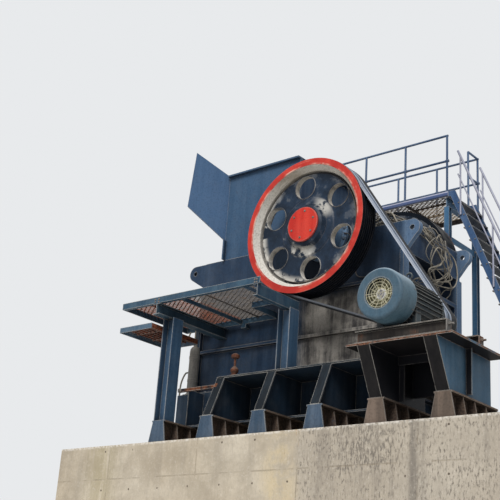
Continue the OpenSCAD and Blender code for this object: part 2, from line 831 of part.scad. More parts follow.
// Two rods that hold the jaw against the toggle, each with a spring, washers and a nut
module tension_rods() {
    seat_x = body_rear;
    seat_t = 40;
    seat_half_w = 110;
    washer_r = 95;
    washer_t = 25;
    spring_r = 70;
    nut_r = 55;
    nut_h = 50;
    rod_l = seat_x + spring_l + 160 - rod_start_x;
    color(c_rust)
    for (side = [-1, 1]) translate([0, side * rod_y, rod_z]) {
        translate([rod_start_x, 0, 0]) rotate([0, 90, 0]) cylinder(r = rod_r, h = rod_l);
        translate([seat_x, 0, 0]) rotate([0, 90, 0]) cylinder(r = washer_r, h = washer_t);
        translate([seat_x + washer_t, 0, 0]) rotate([0, 90, 0]) cylinder(r = spring_r, h = spring_l);
        translate([seat_x + washer_t + spring_l, 0, 0]) rotate([0, 90, 0])
        cylinder(r = washer_r, h = washer_t);
        translate([seat_x + 2 * washer_t + spring_l, 0, 0]) rotate([0, 90, 0])
        cylinder(r = nut_r, h = nut_h, $fn = 6);
        translate([seat_x - seat_t, -seat_half_w, -seat_half_w])
        cube([seat_t, 2 * seat_half_w, rear_box_z0 - rod_z + seat_half_w]);
    }
}

// Bearing housing round the shaft, between the side plate and the wheel
module bearing_housing() {
    depth = housing_end - side_out;
    translate([0, -side_out, shaft_z]) rotate([90, 0, 0])
    rotate_extrude()
    polygon([[shaft_r + bearing_gap, 0], [housing_r, 0], [housing_r, 50], [housing_r - 60, 60],
        [housing_r - 70, depth - 40], [housing_r - 110, depth], [shaft_r + bearing_gap, depth]]);
}

module near_bearing_housing() {
    color(c_body) bearing_housing();
}

module far_bearing_housing() {
    color(c_body) on_far_side() bearing_housing();
}

// Belt drive

// Section of the joined belt as [radius, distance across]: V ribs under one band, on a wheel of radius r
function belt_section(r) = concat(
    [[r + belt_gap + band_t, -belt_half_w], [r + belt_gap, -belt_half_w]],
    [for (i = [0 : belt_count - 1]) each [
        [r + belt_gap, belt_offset(i) - belt_top_w / 2],
        [r - belt_depth, belt_offset(i) - belt_foot_w / 2],
        [r - belt_depth, belt_offset(i) + belt_foot_w / 2],
        [r + belt_gap, belt_offset(i) + belt_top_w / 2]]],
    [[r + belt_gap, belt_half_w], [r + belt_gap + band_t, belt_half_w]]);

// Place of a rib across the belt, from the belt's middle
function belt_offset(i) = (i - (belt_count - 1) / 2) * belt_pitch;

// The belt in the wheel's own plane: two arcs and two straight runs
module belt_loop() {
    rotate([0, 0, wrap]) rotate_extrude(angle = 360 - 2 * wrap, $fn = 128) polygon(belt_section(wheel_r));
    translate([drive_d, 0, 0]) rotate([0, 0, -wrap])
    rotate_extrude(angle = 2 * wrap, $fn = 96) polygon(belt_section(pulley_r));
    for (side = [0, 1]) mirror([0, side, 0])
        rotate([0, 0, wrap]) rotate([90, 0, 0])
        linear_extrude(span_l) polygon(belt_section(wheel_r));
}

module v_belts() {
    color(c_black)
    translate([0, -wheel_back, shaft_z]) rotate([90, 0, 0]) rotate([0, 0, drive_dir])
    translate([0, 0, wheel_w / 2]) belt_loop();
}

// Outline points of a grooved rim, from the back face to the front face
function grooved_rim(r, w) = concat([[r, 0]],
    [for (i = [0 : belt_count - 1]) let (c = w / 2 + belt_offset(i)) each [
        [r, c - groove_half(0)],
        [r - belt_depth - groove_extra, c - groove_half(belt_depth + groove_extra)],
        [r - belt_depth - groove_extra, c + groove_half(belt_depth + groove_extra)],
        [r, c + groove_half(0)]]],
    [[r, w]]);

// Half width of a groove at a depth below the rim, a little more than the belt's
function groove_half(depth) = belt_gap + belt_foot_w / 2
    + (belt_depth - depth) * (belt_top_w - belt_foot_w) / 2 / (belt_depth + belt_gap);

// Wheel section inside its rim: a lip, a recess, the web and the hub, then the same at the back
ring_in = 905;
lip_r = 845;
recess_r = 805;
web_t = 85;
web_z1 = wheel_w - 115;
web_z0 = web_z1 - web_t;
hub_r = 300;
function wheel_inner() = [[ring_in, wheel_w], [lip_r, wheel_w - 95], [lip_r, web_z1 - 35],
    [recess_r, web_z1 - 35], [recess_r, web_z1], [450, web_z1], [430, web_z1 + 12], [340, web_z1 + 25],
    [hub_r, wheel_w - 30], [hub_cap_r + 10, wheel_w - 12],
    [shaft_r, wheel_w - 12], [shaft_r, 0], [hub_r, 0], [hub_r + 30, web_z0],
    [lip_r, web_z0], [ring_in - 20, 0]];

module web_holes() {
    for (k = [0 : web_holes - 1])
        rotate([0, 0, first_hole + k * 360 / web_holes]) translate([hole_circle, 0, -1])
        cylinder(r = web_hole_r, h = wheel_w + 2);
}

module drive_wheel() {
    color(c_red)
    translate([0, -wheel_back, shaft_z]) rotate([90, 0, 0])
    difference() {
        rotate_extrude($fn = 128) polygon(concat(grooved_rim(wheel_r, wheel_w), wheel_inner()));
        web_holes();
    }
}

module flywheel() {
    color(c_red)
    on_far_side() translate([0, -wheel_back, shaft_z]) rotate([90, 0, 0])
    difference() {
        rotate_extrude($fn = 128) polygon(concat([[wheel_r, 0], [wheel_r, wheel_w]], wheel_inner()));
        web_holes();
    }
}

module hub_cap() {
    bevel = 6;
    translate([0, -wheel_face + 12, shaft_z]) rotate([90, 0, 0])
    rotate_extrude()
    polygon([[0, 0], [hub_cap_r, 0], [hub_cap_r, cap_t - bevel], [hub_cap_r - bevel, cap_t], [0, cap_t]]);
}

module near_hub_cap() {
    color(c_red) hub_cap();
}

module far_hub_cap() {
    color(c_red) on_far_side() hub_cap();
}

module crankshaft() {
    end = wheel_face - 12;
    color("silver") {
        near_bar(0, shaft_z, shaft_r, journal_half, end);
        near_bar(0, shaft_z, shaft_r, -end, -journal_half);
        near_bar(0, shaft_z - crank_offset, journal_r, -journal_half, journal_half);
    }
}

// Motor shaft, fan and pulley

module motor_shaft() {
    color("silver") near_bar(motor_x, motor_z, motor_shaft_r, wheel_back, cowl_face - 60);
}

module motor_fan() {
    hub = 75;
    body_end = cowl_face - cowl_length;
    color([0.59, 0.57, 0.39])
    difference() {
        union() {
            near_bar(motor_x, motor_z, hub, cowl_face - 190, cowl_face - 60);
            near_bar(motor_x, motor_z, opening_r + 70, cowl_face - 200, cowl_face - 190);
            for (i = [0 : fan_blades - 1])
                translate([motor_x, 0, motor_z]) rotate([0, i * 360 / fan_blades, 0])
                near_block(-4, 4, cowl_face - 191, cowl_face - 70, hub - 5, opening_r + 65);
        }
        near_bar(motor_x, motor_z, motor_shaft_r, body_end, cowl_face);
    }
}

module motor_pulley() {
    color(c_black)
    translate([motor_x, -wheel_back, motor_z]) rotate([90, 0, 0])
    rotate_extrude($fn = 96)
    polygon(concat(grooved_rim(pulley_r, wheel_w),
        [[pulley_r - 50, wheel_w], [pulley_r - 60, wheel_w - 60], [motor_shaft_r + 35, wheel_w - 60],
        [motor_shaft_r + 30, wheel_w], [motor_shaft_r, wheel_w], [motor_shaft_r, 0]]));
}

// Service platform on the drive side

// Channels round the deck, with a notch below the wheel, and the two beams that carry it
module near_platform_frame() {
    t = 12;
    lip = 60;
    bracket_w = 90;
    beam2_inner = 1280;
    z0 = platform_top - channel_h;
    color(c_steel) {
        near_block(-platform_front, platform_x1, platform_reach - t, platform_reach, z0, platform_top);
        near_block(-platform_front, platform_x1, platform_reach - lip, platform_reach, z0, z0 + t);
        near_block(-platform_front, -platform_front + t, platform_inner, platform_reach, z0, platform_top);
        near_block(-platform_front, wheel_notch_x, platform_inner, platform_inner + t, z0, platform_top);
        near_block(wheel_notch_x - t, wheel_notch_x, platform_inner, wheel_notch_y + t, z0, platform_top);
        near_block(wheel_notch_x - t, grating_x1, wheel_notch_y, wheel_notch_y + t, z0, platform_top);
        for (x = [deck_cross_x, grating_x1 - t])
            near_block(x, x + t, x == deck_cross_x ? platform_inner : wheel_notch_y, platform_reach,
                z0, platform_top - bar_h);
        near_beam(beam1_x, beam1_w, side_out, platform_reach, beam_z0, beam_z1);
        near_block(beam2_x - beam_t, beam2_x, beam2_inner, platform_reach, beam_z0, beam_z1);
        for (z = [beam_z0, beam_z1 - beam_t])
            near_block(beam2_x - beam2_w, beam2_x, beam2_inner, platform_reach, z, z + beam_t);
        for (x = [beam1_x - 350, deck_cross_x])
            near_block(x, x + bracket_w, side_out, platform_inner + t, z0 - lip, z0);
    }
}

module near_platform_grating() {
    t = 12;
    color(c_rust) {
        grating(-platform_front + t, wheel_notch_x - t, -platform_reach + t, -platform_inner - t,
            platform_top);
        grating(wheel_notch_x - t, grating_x1, -platform_reach + t, -wheel_notch_y - t, platform_top);
    }
}

module near_platform_posts() {
    color(c_steel) {
        translate([pedestal_x(0), -post1_y, girder_z]) rotate([0, 0, 90])
        h_section(post_w, post_w, beam_z0 - girder_z);
        translate([post2_x, -post2_y, girder_top]) rotate([0, 0, 90])
        h_section(post_w, post_w, beam_z0 - girder_top);
    }
}

// Small landing one step below the platform's feed end, fixed to the first post and hung from the beam
module step_landing() {
    t = 12;
    landing_h = 75;
    landing_drop = 365;
    inner = 1200;
    hanger_w = 50;
    x0 = -platform_front;
    x1 = pedestal_x(0) - post_w / 2;
    top = platform_top - landing_drop;
    color(c_rust) {
        grating(x0, x1, -platform_reach, -inner, top);
        for (x = [x0, x1 - t]) near_block(x, x + t, inner, platform_reach, top - landing_h, top - bar_h + 5);
        for (d = [inner, platform_reach - t]) near_block(x0, x1, d, d + t, top - landing_h, top);
        near_block(x1 - hanger_w, x1, inner, inner + t, top - 1, beam_z1);
    }
}

// Walkway on the far side

// Two portals: a post on the far girder, a post on the ground, a cross beam on top and a tie
module walkway_posts() {
    foot_half = 110;
    half = walkway_post_w / 2;
    inner_d = walkway_inner + 80;
    beam_end = cowl_face - 50;
    tie_bar_h = 100;
    beam_top = walkway_top - channel_h;
    color(c_steel) on_far_side()
        for (x = walkway_post_xs) {
            near_block(x - foot_half, x + foot_half, walkway_post_y - foot_half, walkway_post_y + foot_half,
                0, plate_t);
            translate([x, -walkway_post_y, plate_t])
            h_section(walkway_post_w, walkway_post_w, walkway_beam_z0 - plate_t);
            translate([x, -inner_d, girder_top])
            h_section(walkway_post_w, walkway_post_w, walkway_beam_z0 - girder_top);
            for (z = [walkway_beam_z0, beam_top - beam_t])
                near_block(x - half, x + half, inner_d - half, beam_end, z, z + beam_t);
            near_block(x - beam_t / 2, x + beam_t / 2, inner_d - half, beam_end, walkway_beam_z0, beam_top);
            near_block(x - beam_t / 2, x + beam_t / 2, inner_d, walkway_post_y,
                walkway_tie_z, walkway_tie_z + tie_bar_h);
        }
}

module walkway_frame() {
    t = 12;
    third = (walkway_x1 - walkway_x0) / 3;
    z0 = walkway_top - channel_h;
    color(c_steel) on_far_side() {
        for (d = [walkway_inner, cowl_face - t])
            near_block(walkway_x0, walkway_x1, d, d + t, z0, walkway_top);
        for (x = [walkway_x0, walkway_x1 - t])
            near_block(x, x + t, walkway_inner, cowl_face, z0, walkway_top);
        for (i = [1, 2])
            near_block(walkway_x0 + i * third, walkway_x0 + i * third + t, walkway_inner, cowl_face,
                z0, walkway_top - bar_h);
    }
}

module walkway_grating() {
    color(c_rust)
    grating(walkway_x0 + 12, walkway_x1 - 12, walkway_inner + 12, cowl_face - 12, walkway_top);
}

// Handrail along X on the far side: posts, a top rail and a knee rail
module rail_along_x(xs, y, z) {
    last = xs[len(xs) - 1];
    for (x = xs) rod_between([x, y, z], [x, y, z + rail_height], tube_r);
    for (h = [knee_h, rail_height])
        rod_between([xs[0] - tube_r, y, z + h], [last + tube_r, y, z + h], tube_r);
}

module walkway_railing() {
    y_out = cowl_face - 40;
    y_in = walkway_inner + 40;
    x_a = walkway_x0 + 40;
    x_b = walkway_x1 - 40;
    y_gate = stair_y1 + 30;
    posts = [x_a, x_a + (x_b - x_a) / 3, x_a + 2 * (x_b - x_a) / 3, x_b];
    color(c_rail) {
        rail_along_x(posts, y_out, walkway_top);
        rail_along_x(posts, y_in, walkway_top);
        for (h = [knee_h, rail_height])
            rod_between([x_a, y_in, walkway_top + h], [x_a, y_out, walkway_top + h], tube_r);
        for (h = [knee_h, rail_height])
            rod_between([x_b, y_gate, walkway_top + h], [x_b, y_out, walkway_top + h], tube_r);
        rod_between([x_b, y_gate, walkway_top], [x_b, y_gate, walkway_top + rail_height], tube_r);
    }
}

// Point on the stair's pitch line at height z
function stair_x(z) = walkway_x1 + stair_nose + (walkway_top - z) / tan(stair_slope);

// A stringer: its outline in X and Z, cut level on the wall and upright at the walkway
module stair_side(y) {
    lean = stringer_d / sin(stair_slope);
    knee_z = walkway_top - channel_h;
    outline = [[walkway_x1, walkway_top], [walkway_x1, knee_z], [stair_x(knee_z) - lean, knee_z],
        [stair_x(top_of_wall) - lean, top_of_wall], [stair_x(top_of_wall), top_of_wall],
        [stair_x(walkway_top), walkway_top]];
    plate_xz(y + stringer_t, stringer_t) polygon(outline);
}

module stair_sides() {
    color(c_steel) {
        stair_side(stair_y0);
        stair_side(stair_y1 - stringer_t);
    }
}

module stair_treads() {
    rise = stair_h / (tread_count + 1);
    depth = 150;
    tread_t = 20;
    overhang = 20;
    color(c_rust)
    for (i = [1 : tread_count]) {
        z = top_of_wall + i * rise;
        block(stair_x(z) - depth + overhang, stair_x(z) + overhang,
            stair_y0 + stringer_t, stair_y1 - stringer_t, z - tread_t, z);
    }
}

module stair_handrails() {
    lift = rail_height * 0.8;
    color(c_rail)
    for (y = [stair_y0 - post_r - seat_gap, stair_y1 + post_r + seat_gap]) {
        a = [stair_x(top_of_wall + 250), y, top_of_wall + 250];
        b = [stair_x(walkway_top - 150), y, walkway_top - 150];
        rod_between(a + [0, 0, lift], b + [0, 0, lift], tube_r);
        rod_between(a + [0, 0, lift / 2], b + [0, 0, lift / 2], knee_r);
        for (k = [0 : 3]) {
            p = a + (b - a) * (k + 0.08) / 3.16;
            rod_between(p - [0, 0, 200], p + [0, 0, lift], post_r);
        }
    }
}

near_foundation_wall();
far_foundation_wall();
near_pedestals();
far_pedestals();
near_base_girder();
far_base_girder();
base_cross_beams();
motor_stand();
motor_slide_rails();
motor_frame();
fan_cowl();
near_side_plate();
far_side_plate();
front_frame();
rear_frame();
near_hopper_side();
far_hopper_side();
hopper_back();
near_feed_cheek();
far_feed_cheek();
feed_plate();
fixed_jaw_liner();
swing_jaw();
swing_jaw_liner();
toggle_plate();
tension_rods();
near_bearing_housing();
far_bearing_housing();
v_belts();
near_platform_frame();
near_platform_grating();
near_platform_posts();
step_landing();
walkway_posts();
walkway_frame();
walkway_grating();
walkway_railing();
stair_sides();
stair_treads();
stair_handrails();
crankshaft();
drive_wheel();
flywheel();
near_hub_cap();
far_hub_cap();
motor_shaft();
motor_fan();
motor_pulley();
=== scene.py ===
import math

import bpy
import bmesh
import numpy as np
from mathutils import Matrix


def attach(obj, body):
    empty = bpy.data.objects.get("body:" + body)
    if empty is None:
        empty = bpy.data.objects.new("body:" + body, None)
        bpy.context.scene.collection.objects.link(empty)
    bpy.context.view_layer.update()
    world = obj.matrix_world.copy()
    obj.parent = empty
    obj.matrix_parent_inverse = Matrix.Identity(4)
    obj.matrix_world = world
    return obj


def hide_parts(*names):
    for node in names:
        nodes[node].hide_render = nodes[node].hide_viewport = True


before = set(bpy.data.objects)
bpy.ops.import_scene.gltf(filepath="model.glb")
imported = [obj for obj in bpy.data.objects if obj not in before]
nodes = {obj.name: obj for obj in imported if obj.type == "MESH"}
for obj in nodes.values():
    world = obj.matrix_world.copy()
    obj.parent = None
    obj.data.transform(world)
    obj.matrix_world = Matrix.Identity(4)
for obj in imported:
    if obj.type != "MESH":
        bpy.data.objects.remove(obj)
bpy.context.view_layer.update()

# Heights and places on the crusher, in metres
WALL_TOP = 3.0
GIRDER_TOP = 3.89
PLATE_FOOT, PLATE_TOP = 3.8905, 3.905
PLATFORM_TOP = 5.03
SHAFT_Z = 6.07
WALKWAY_TOP = 7.40
HOPPER_TOP = 7.495
MOTOR_X, MOTOR_Z = 2.03, 4.41
PEDESTAL_XS = (-1.80, -0.92, -0.04, 0.84, 1.72, 2.60)
UP = (0.0, 0.0, 1.0)
TO_VIEWER = (0.0, -1.0, 0.0)
AWAY = (0.0, 1.0, 0.0)
TO_MOTOR_END = (1.0, 0.0, 0.0)
TO_FEED_END = (-1.0, 0.0, 0.0)


# Camera, light and floor

def rotation(degrees, axis):
    return Matrix.Rotation(math.radians(degrees), 4, axis)


def photo_camera():
    """A camera near the ground, off the motor end, looking up to the crusher: turned by the
    azimuth about Z, tipped up by the elevation, then rolled about its own line of sight."""
    place = (8.28, -11.875, 0.62)
    azimuth, elevation, roll = 41.08, 20.49, 4.126
    focal_px, frame_px = 1037, 500
    data = bpy.data.cameras.new("photo_camera")
    data.sensor_width = 36
    data.lens = data.sensor_width * focal_px / frame_px
    camera = bpy.data.objects.new("photo_camera", data)
    aim = rotation(azimuth, "Z") @ rotation(90 + elevation, "X") @ rotation(roll, "Z")
    camera.matrix_world = Matrix.Translation(place) @ aim
    bpy.context.scene.collection.objects.link(camera)
    bpy.context.scene.camera = camera


def soft_lamp(name, azimuth, elevation, strength, spread):
    """A sun with a wide disc, so that its shadows are soft. Angles in degrees."""
    data = bpy.data.lights.new(name, "SUN")
    data.energy = strength
    data.angle = math.radians(spread)
    lamp = bpy.data.objects.new(name, data)
    lamp.matrix_world = rotation(azimuth, "Z") @ rotation(90 - elevation, "X")
    bpy.context.scene.collection.objects.link(lamp)


def rgb(red, green, blue):
    """A colour as seen on a screen, 0 to 255, turned into the light it stands for."""
    seen = np.array([red, green, blue]) / 255
    light = np.where(seen > 0.04045, ((seen + 0.055) / 1.055) ** 2.4, seen / 12.92)
    return (*light.tolist(), 1.0)


# Nodes of materials

class Value:
    """What one socket of a node gives. Sums, differences and products of values, and the
    methods here, put the nodes for them into the same material."""

    def __init__(self, bench, socket):
        self.bench, self.socket = bench, socket

    def calc(self, operation, *others):
        return self.bench.calc(operation, self, *others)

    def __add__(self, other):
        return self.calc("ADD", other)

    def __sub__(self, other):
        return self.calc("SUBTRACT", other)

    def __rsub__(self, other):
        return self.bench.calc("SUBTRACT", other, self)

    def __mul__(self, other):
        return self.calc("MULTIPLY", other)

    def __abs__(self):
        return self.calc("ABSOLUTE")

    def step(self, low, high, at_low=0.0, at_high=1.0):
        """Goes smoothly from at_low, at the value low, to at_high, at the value high."""
        inputs = enumerate((self, low, high, at_low, at_high))
        return self.bench.value("ShaderNodeMapRange", 0, inputs, interpolation_type="SMOOTHSTEP")

    def fall(self, low, high):
        """1 below low and 0 above high, with a smooth slope between them."""
        return self.step(low, high, 1.0, 0.0)

    def band(self, low, high, soft=0.004):
        """1 where the value lies between low and high, and 0 elsewhere."""
        return self.step(low - soft, low + soft) * self.fall(high - soft, high + soft)

    def noise(self, scale, detail=3.0, rough=0.55):
        inputs = {"Vector": self, "Scale": scale, "Detail": detail, "Roughness": rough}
        return self.bench.value("ShaderNodeTexNoise", "Fac", inputs)

    def cells(self, scale):
        return self.bench.value("ShaderNodeTexVoronoi", "Distance", {"Vector": self, "Scale": scale})

    def stretch(self, *factors):
        return self.bench.value("ShaderNodeVectorMath", 0, {0: self, 1: factors}, operation="MULTIPLY")

    def parts(self):
        outputs = self.bench.node("ShaderNodeSeparateXYZ", {"Vector": self}).outputs
        return [Value(self.bench, output) for output in outputs]


class Bench:
    """Puts nodes into one material, group or world."""

    def __init__(self, tree):
        self.tree = tree

    def feed(self, socket, value):
        """Joins a value to a socket, or sets the socket: a colour socket to a colour as seen
        on a screen or to an even grey, any other to the number itself."""
        if isinstance(value, Value):
            self.tree.links.new(value.socket, socket)
        elif socket.type == "RGBA":
            socket.default_value = rgb(*value) if isinstance(value, tuple) else (value, value, value, 1.0)
        else:
            socket.default_value = value

    def node(self, kind, inputs=(), **settings):
        made = self.tree.nodes.new(kind)
        for name, value in settings.items():
            setattr(made, name, value)
        for key, value in dict(inputs).items():
            self.feed(made.inputs[key], value)
        return made

    def value(self, kind, output, inputs=(), **settings):
        return Value(self, self.node(kind, inputs, **settings).outputs[output])

    def calc(self, operation, *values, clamp=False):
        return self.value("ShaderNodeMath", 0, enumerate(values), operation=operation, use_clamp=clamp)

    def place(self):
        return self.value("ShaderNodeTexCoord", "Object")

    def facing(self):
        """The surface's own direction, which turns with the body it belongs to."""
        return self.value("ShaderNodeTexCoord", "Normal")

    def openness(self, reach):
        """How free a spot is of other surfaces within the reach, from 0 to 1."""
        return self.value("ShaderNodeAmbientOcclusion", "AO", {"Distance": reach}, samples=4)


def total(whole, *others):
    """The sum of several values, held between 0 and 1 at the end."""
    for other in others:
        whole = whole + other
    return whole.calc("MINIMUM", 1.0).calc("MAXIMUM", 0.0)


def mix(share, first, second, blend="MIX"):
    """The first colour where the share is 0 and the second where it is 1."""
    inputs = {0: share, 6: first, 7: second}
    return share.bench.value("ShaderNodeMix", 2, inputs, data_type="RGBA", blend_type=blend)


def distance(across, up):
    """The square root of the sum of both squares."""
    return (across * across + up * up).calc("SQRT")


def edge_mask(bench, radius, gain):
    """How much an edge or a corner is near: the angle between the true surface and one
    whose edges are rounded by the radius, times the gain."""
    rounded = bench.value("ShaderNodeBevel", 0, {"Radius": radius}, samples=4)
    flat = bench.value("ShaderNodeNewGeometry", "Normal")
    same = bench.value("ShaderNodeVectorMath", "Value", {0: rounded, 1: flat}, operation="DOT_PRODUCT")
    return bench.calc("MULTIPLY", 1.0 - same, gain, clamp=True)


def studio_world():
    """An even pale sky: dimmer as a lamp than as the backdrop that the camera, mirrored rays
    and rays through glass see."""
    world = bpy.data.worlds.new("studio")
    world.use_nodes = True
    world.node_tree.nodes.clear()
    bench = Bench(world.node_tree)
    lamp = bench.value("ShaderNodeBackground", 0, {"Color": (246, 249, 255), "Strength": 0.44})
    seen = bench.value("ShaderNodeBackground", 0, {"Color": (232, 234, 236)})
    rays = bench.node("ShaderNodeLightPath").outputs
    camera, glass, mirrored = [Value(bench, rays[f"Is {kind} Ray"])
                               for kind in ("Camera", "Transmission", "Glossy")]
    share = camera.calc("MAXIMUM", glass).calc("MAXIMUM", mirrored)
    both = bench.value("ShaderNodeMixShader", 0, {0: share, 1: lamp, 2: seen})
    bench.node("ShaderNodeOutputWorld", {"Surface": both})
    bpy.context.scene.world = world


def weathered_steel():
    """A node group, paint on steel: cloudy tone, runs, rust in patches and on edges, pale edges of worn paint
    with a painted highlight, stone dust on whatever faces up, grime and painted shade in the corners, and
    painted shade wherever surfaces are closed in."""
    tree = bpy.data.node_groups.new("weathered_steel", "ShaderNodeTree")
    bench = Bench(tree)
    for way, kind, labels in (
            ("INPUT", "Color", ("Paint", "Faded", "Light rust", "Dark rust")),
            ("INPUT", "Float", ("Rust share", "Dust share", "Edge share", "Grime and shade share", "Enclosed shade share",
                                "Gloss")),
            ("OUTPUT", "Color", ("Color",)), ("OUTPUT", "Float", ("Roughness", "Height"))):
        for label in labels:
            tree.interface.new_socket(label, in_out=way, socket_type="NodeSocket" + kind)
    given = {socket.name: Value(bench, socket) for socket in bench.node("NodeGroupInput").outputs}
    where = bench.place()
    patch = where.noise(4.3, 6, 0.62)
    grain = where.noise(42, 4, 0.6)
    runs = where.stretch(9, 9, 0.55).noise(1.0, 5, 0.6)
    tone = where.noise(0.8, 3) * 0.5 + runs * 0.5
    colour = mix(tone.step(0.38, 0.64), given["Paint"], given["Faded"])
    colour = mix(grain.step(0.45, 0.75, 0.0, 0.35), colour, given["Paint"], "MULTIPLY")
    edge = edge_mask(bench, radius=0.016, gain=4.5)
    mixed = patch * 0.62 + runs * 0.38
    start = (1.0 - given["Rust share"]) * 0.46 + 0.26
    rust = total(mixed.step(start, start + 0.1), edge * given["Rust share"] * patch.step(0.4, 0.6))
    colour = mix(rust, colour, mix(grain.step(0.35, 0.65), given["Dark rust"], given["Light rust"]))
    # Pale edges: worn, dusty paint, and a painted highlight where light catches the edges.
    worn_and_lit = edge * given["Edge share"] * patch.step(0.28, 0.56, 0.35, 1.0)
    colour = mix(worn_and_lit, colour, (172, 168, 160))
    level = bench.facing().parts()[2].step(0.25, 0.95)
    film = mixed.step(0.40, 0.66) * 0.16
    speck = grain.step(0.60, 0.74) * 0.22
    dust = given["Dust share"] * total(level, film, speck) * patch.step(0.2, 0.7, 0.75, 1.35)
    dust = dust.calc("MINIMUM", 0.95)
    colour = mix(dust, colour, (160, 152, 138))
    # Grime and painted shade: darkens corners and creases where other surfaces lie within 0.16 m.
    grime_and_shade = bench.openness(0.16).fall(0.35, 0.85) * given["Grime and shade share"]
    colour = mix(grime_and_shade, colour, (44, 38, 34))
    # Painted shade: near-black wherever surfaces close in within 0.9 m, such as undersides and the insides of
    # frames.
    enclosed_shade = bench.openness(0.9).fall(0.15, 0.75) * given["Enclosed shade share"]
    colour = mix(enclosed_shade, colour, (26, 28, 34))
    rough = mix(total(rust, dust), given["Gloss"], 0.88)
    height = total(grain * rust.step(0.0, 1.0, 0.2, 0.9), rust * 0.3)
    bench.node("NodeGroupOutput", {"Color": colour, "Roughness": rough, "Height": height})
    return tree


def new_material(name):
    """An empty material: itself, its bench and its shader."""
    material = bpy.data.materials.new(name)
    material.use_nodes = True
    material.node_tree.nodes.clear()
    bench = Bench(material.node_tree)
    shader = bench.node("ShaderNodeBsdfPrincipled")
    bench.node("ShaderNodeOutputMaterial", {"Surface": Value(bench, shader.outputs[0])})
    return material, bench, shader


def shade(bench, shader, colour, rough, height, depth, strength=0.6, glint=0.5):
    """Sets the shader's colour, roughness and bumps. A height of 1 stands for the depth in
    metres, and glint is how strongly the surface mirrors."""
    bench.feed(shader.inputs["Base Color"], colour)
    bench.feed(shader.inputs["Roughness"], rough)
    shader.inputs["Specular IOR Level"].default_value = glint
    inputs = {"Strength": strength, "Distance": depth, "Height": height}
    bench.feed(shader.inputs["Normal"], bench.value("ShaderNodeBump", 0, inputs))


def cover(material, names):
    """Puts a material on the CAD nodes in the list of names, and gives it back."""
    for name in names.split():
        mesh = nodes[name].data
        mesh.materials.clear()
        mesh.materials.append(material)
    return material


def steel(name, names="", paint=None, faded=None, rust=0.2, dust=0.3, edge=0.5, grime_and_shade=0.4, enclosed_shade=0.6,
          gloss=0.5, light_rust=(122, 74, 48), dark_rust=(66, 44, 34), zones=None):
    """Weathered steel in one paint, put on the CAD nodes in the list of names. Where the
    paint or another input changes over the piece, zones(bench) gives it."""
    material, bench, shader = new_material(name)
    inputs = {"Paint": paint, "Faded": faded, "Light rust": light_rust, "Dark rust": dark_rust,
              "Rust share": rust, "Dust share": dust, "Edge share": edge, "Grime and shade share": grime_and_shade,
              "Enclosed shade share": enclosed_shade, "Gloss": gloss}
    if zones:
        inputs.update(zones(bench))
    group = bench.node("ShaderNodeGroup", node_tree=WEATHERED)
    for label, value in inputs.items():
        bench.feed(group.inputs[label], value)
    colour, rough, height = [Value(bench, output) for output in group.outputs]
    shade(bench, shader, colour, rough, height, depth=0.004, glint=0.15)
    return cover(material, names)


def pedestal_zones(bench):
    """Blue on the outer faces of the feed end, rusty on ribs behind and to the motor end."""
    x, y, _ = bench.place().parts()
    outer = abs(y).step(1.93, 1.945)
    blue = outer * x.fall(1.2, 1.4)
    brown = outer * x.step(1.2, 1.4)
    return {"Rust share": total((1.0 - outer) * 0.9, outer * 0.14),
            "Paint": mix(brown, (54, 72, 90), (82, 72, 64)),
            "Faded": mix(brown, (84, 100, 118), (122, 106, 94)),
            "Edge share": blue * 0.4 + 0.5}


def girder_zones(bench):
    """Dark bands on the brackets' outer faces, navy webs, and rust on the tie bar."""
    x, y, z = bench.place().parts()
    bar = z.band(3.74, 3.795) * y.step(-1.64, -1.65) * x.fall(-0.94, -0.93)
    sideways = abs(bench.facing().parts()[1]).step(0.3, 0.6)
    outer = sideways * abs(y).step(1.44, 1.50)
    return {"Rust share": total(bar * 0.6, 0.12),
            "Paint": mix(outer, (30, 46, 62), (12, 19, 26)),
            "Faded": mix(outer, (44, 62, 80), (26, 37, 46)),
            "Dust share": 0.3 - outer * 0.27}


def body_zones(bench):
    """Side plate: a brown-grey dusty field low down below the wheel, blue beside it."""
    place = bench.place()
    x, _, z = place.parts()
    runs = place.stretch(9, 9, 1.1).noise(1.0, 6, 0.66)
    ragged = (runs - 0.5) * 0.3
    field = (x + ragged).band(-0.36, 1.0, 0.09) * (z + ragged).band(3.8, 5.2, 0.09)
    blotch = runs * 0.55 + place.noise(3.2, 7, 0.68) * 0.45
    grey = mix(blotch.step(0.38, 0.62), (62, 60, 60), (166, 160, 151))
    lug = x.step(1.22, 1.36)
    return {"Dust share": total(z.step(3.9, 6.2, 0.14, 0.0), 0.2, lug * 0.1),
            "Paint": mix(field, mix(lug, (36, 53, 74), (80, 104, 132)), grey),
            "Faded": mix(field, mix(lug, (47, 68, 92), (106, 130, 156)), grey)}


def deck_zones(bench):
    """Platform deck: strongly rusty at the feed end, greyer below the wheel."""
    feed_end = bench.place().parts()[0].fall(-1.46, -1.38)
    return {"Rust share": feed_end * 0.6 + 0.34,
            "Paint": mix(feed_end, (82, 77, 76), (116, 68, 48)),
            "Faded": mix(feed_end, (112, 104, 98), (142, 84, 56)),
            "Light rust": mix(feed_end, (112, 76, 56), (160, 78, 44))}


def landing_zones(bench):
    """Step landing: blue frame, and rust on the grating inside it."""
    x, y, _ = bench.place().parts()
    inside = x.band(-2.520, -1.886, 0.003) * y.band(-2.160, -1.214, 0.003)
    return {"Rust share": inside * 0.78 + 0.22,
            "Paint": mix(inside, (60, 84, 104), (110, 66, 46)),
            "Faded": mix(inside, (82, 104, 122), (138, 82, 56)),
            "Light rust": mix(inside, (122, 74, 48), (152, 78, 46))}


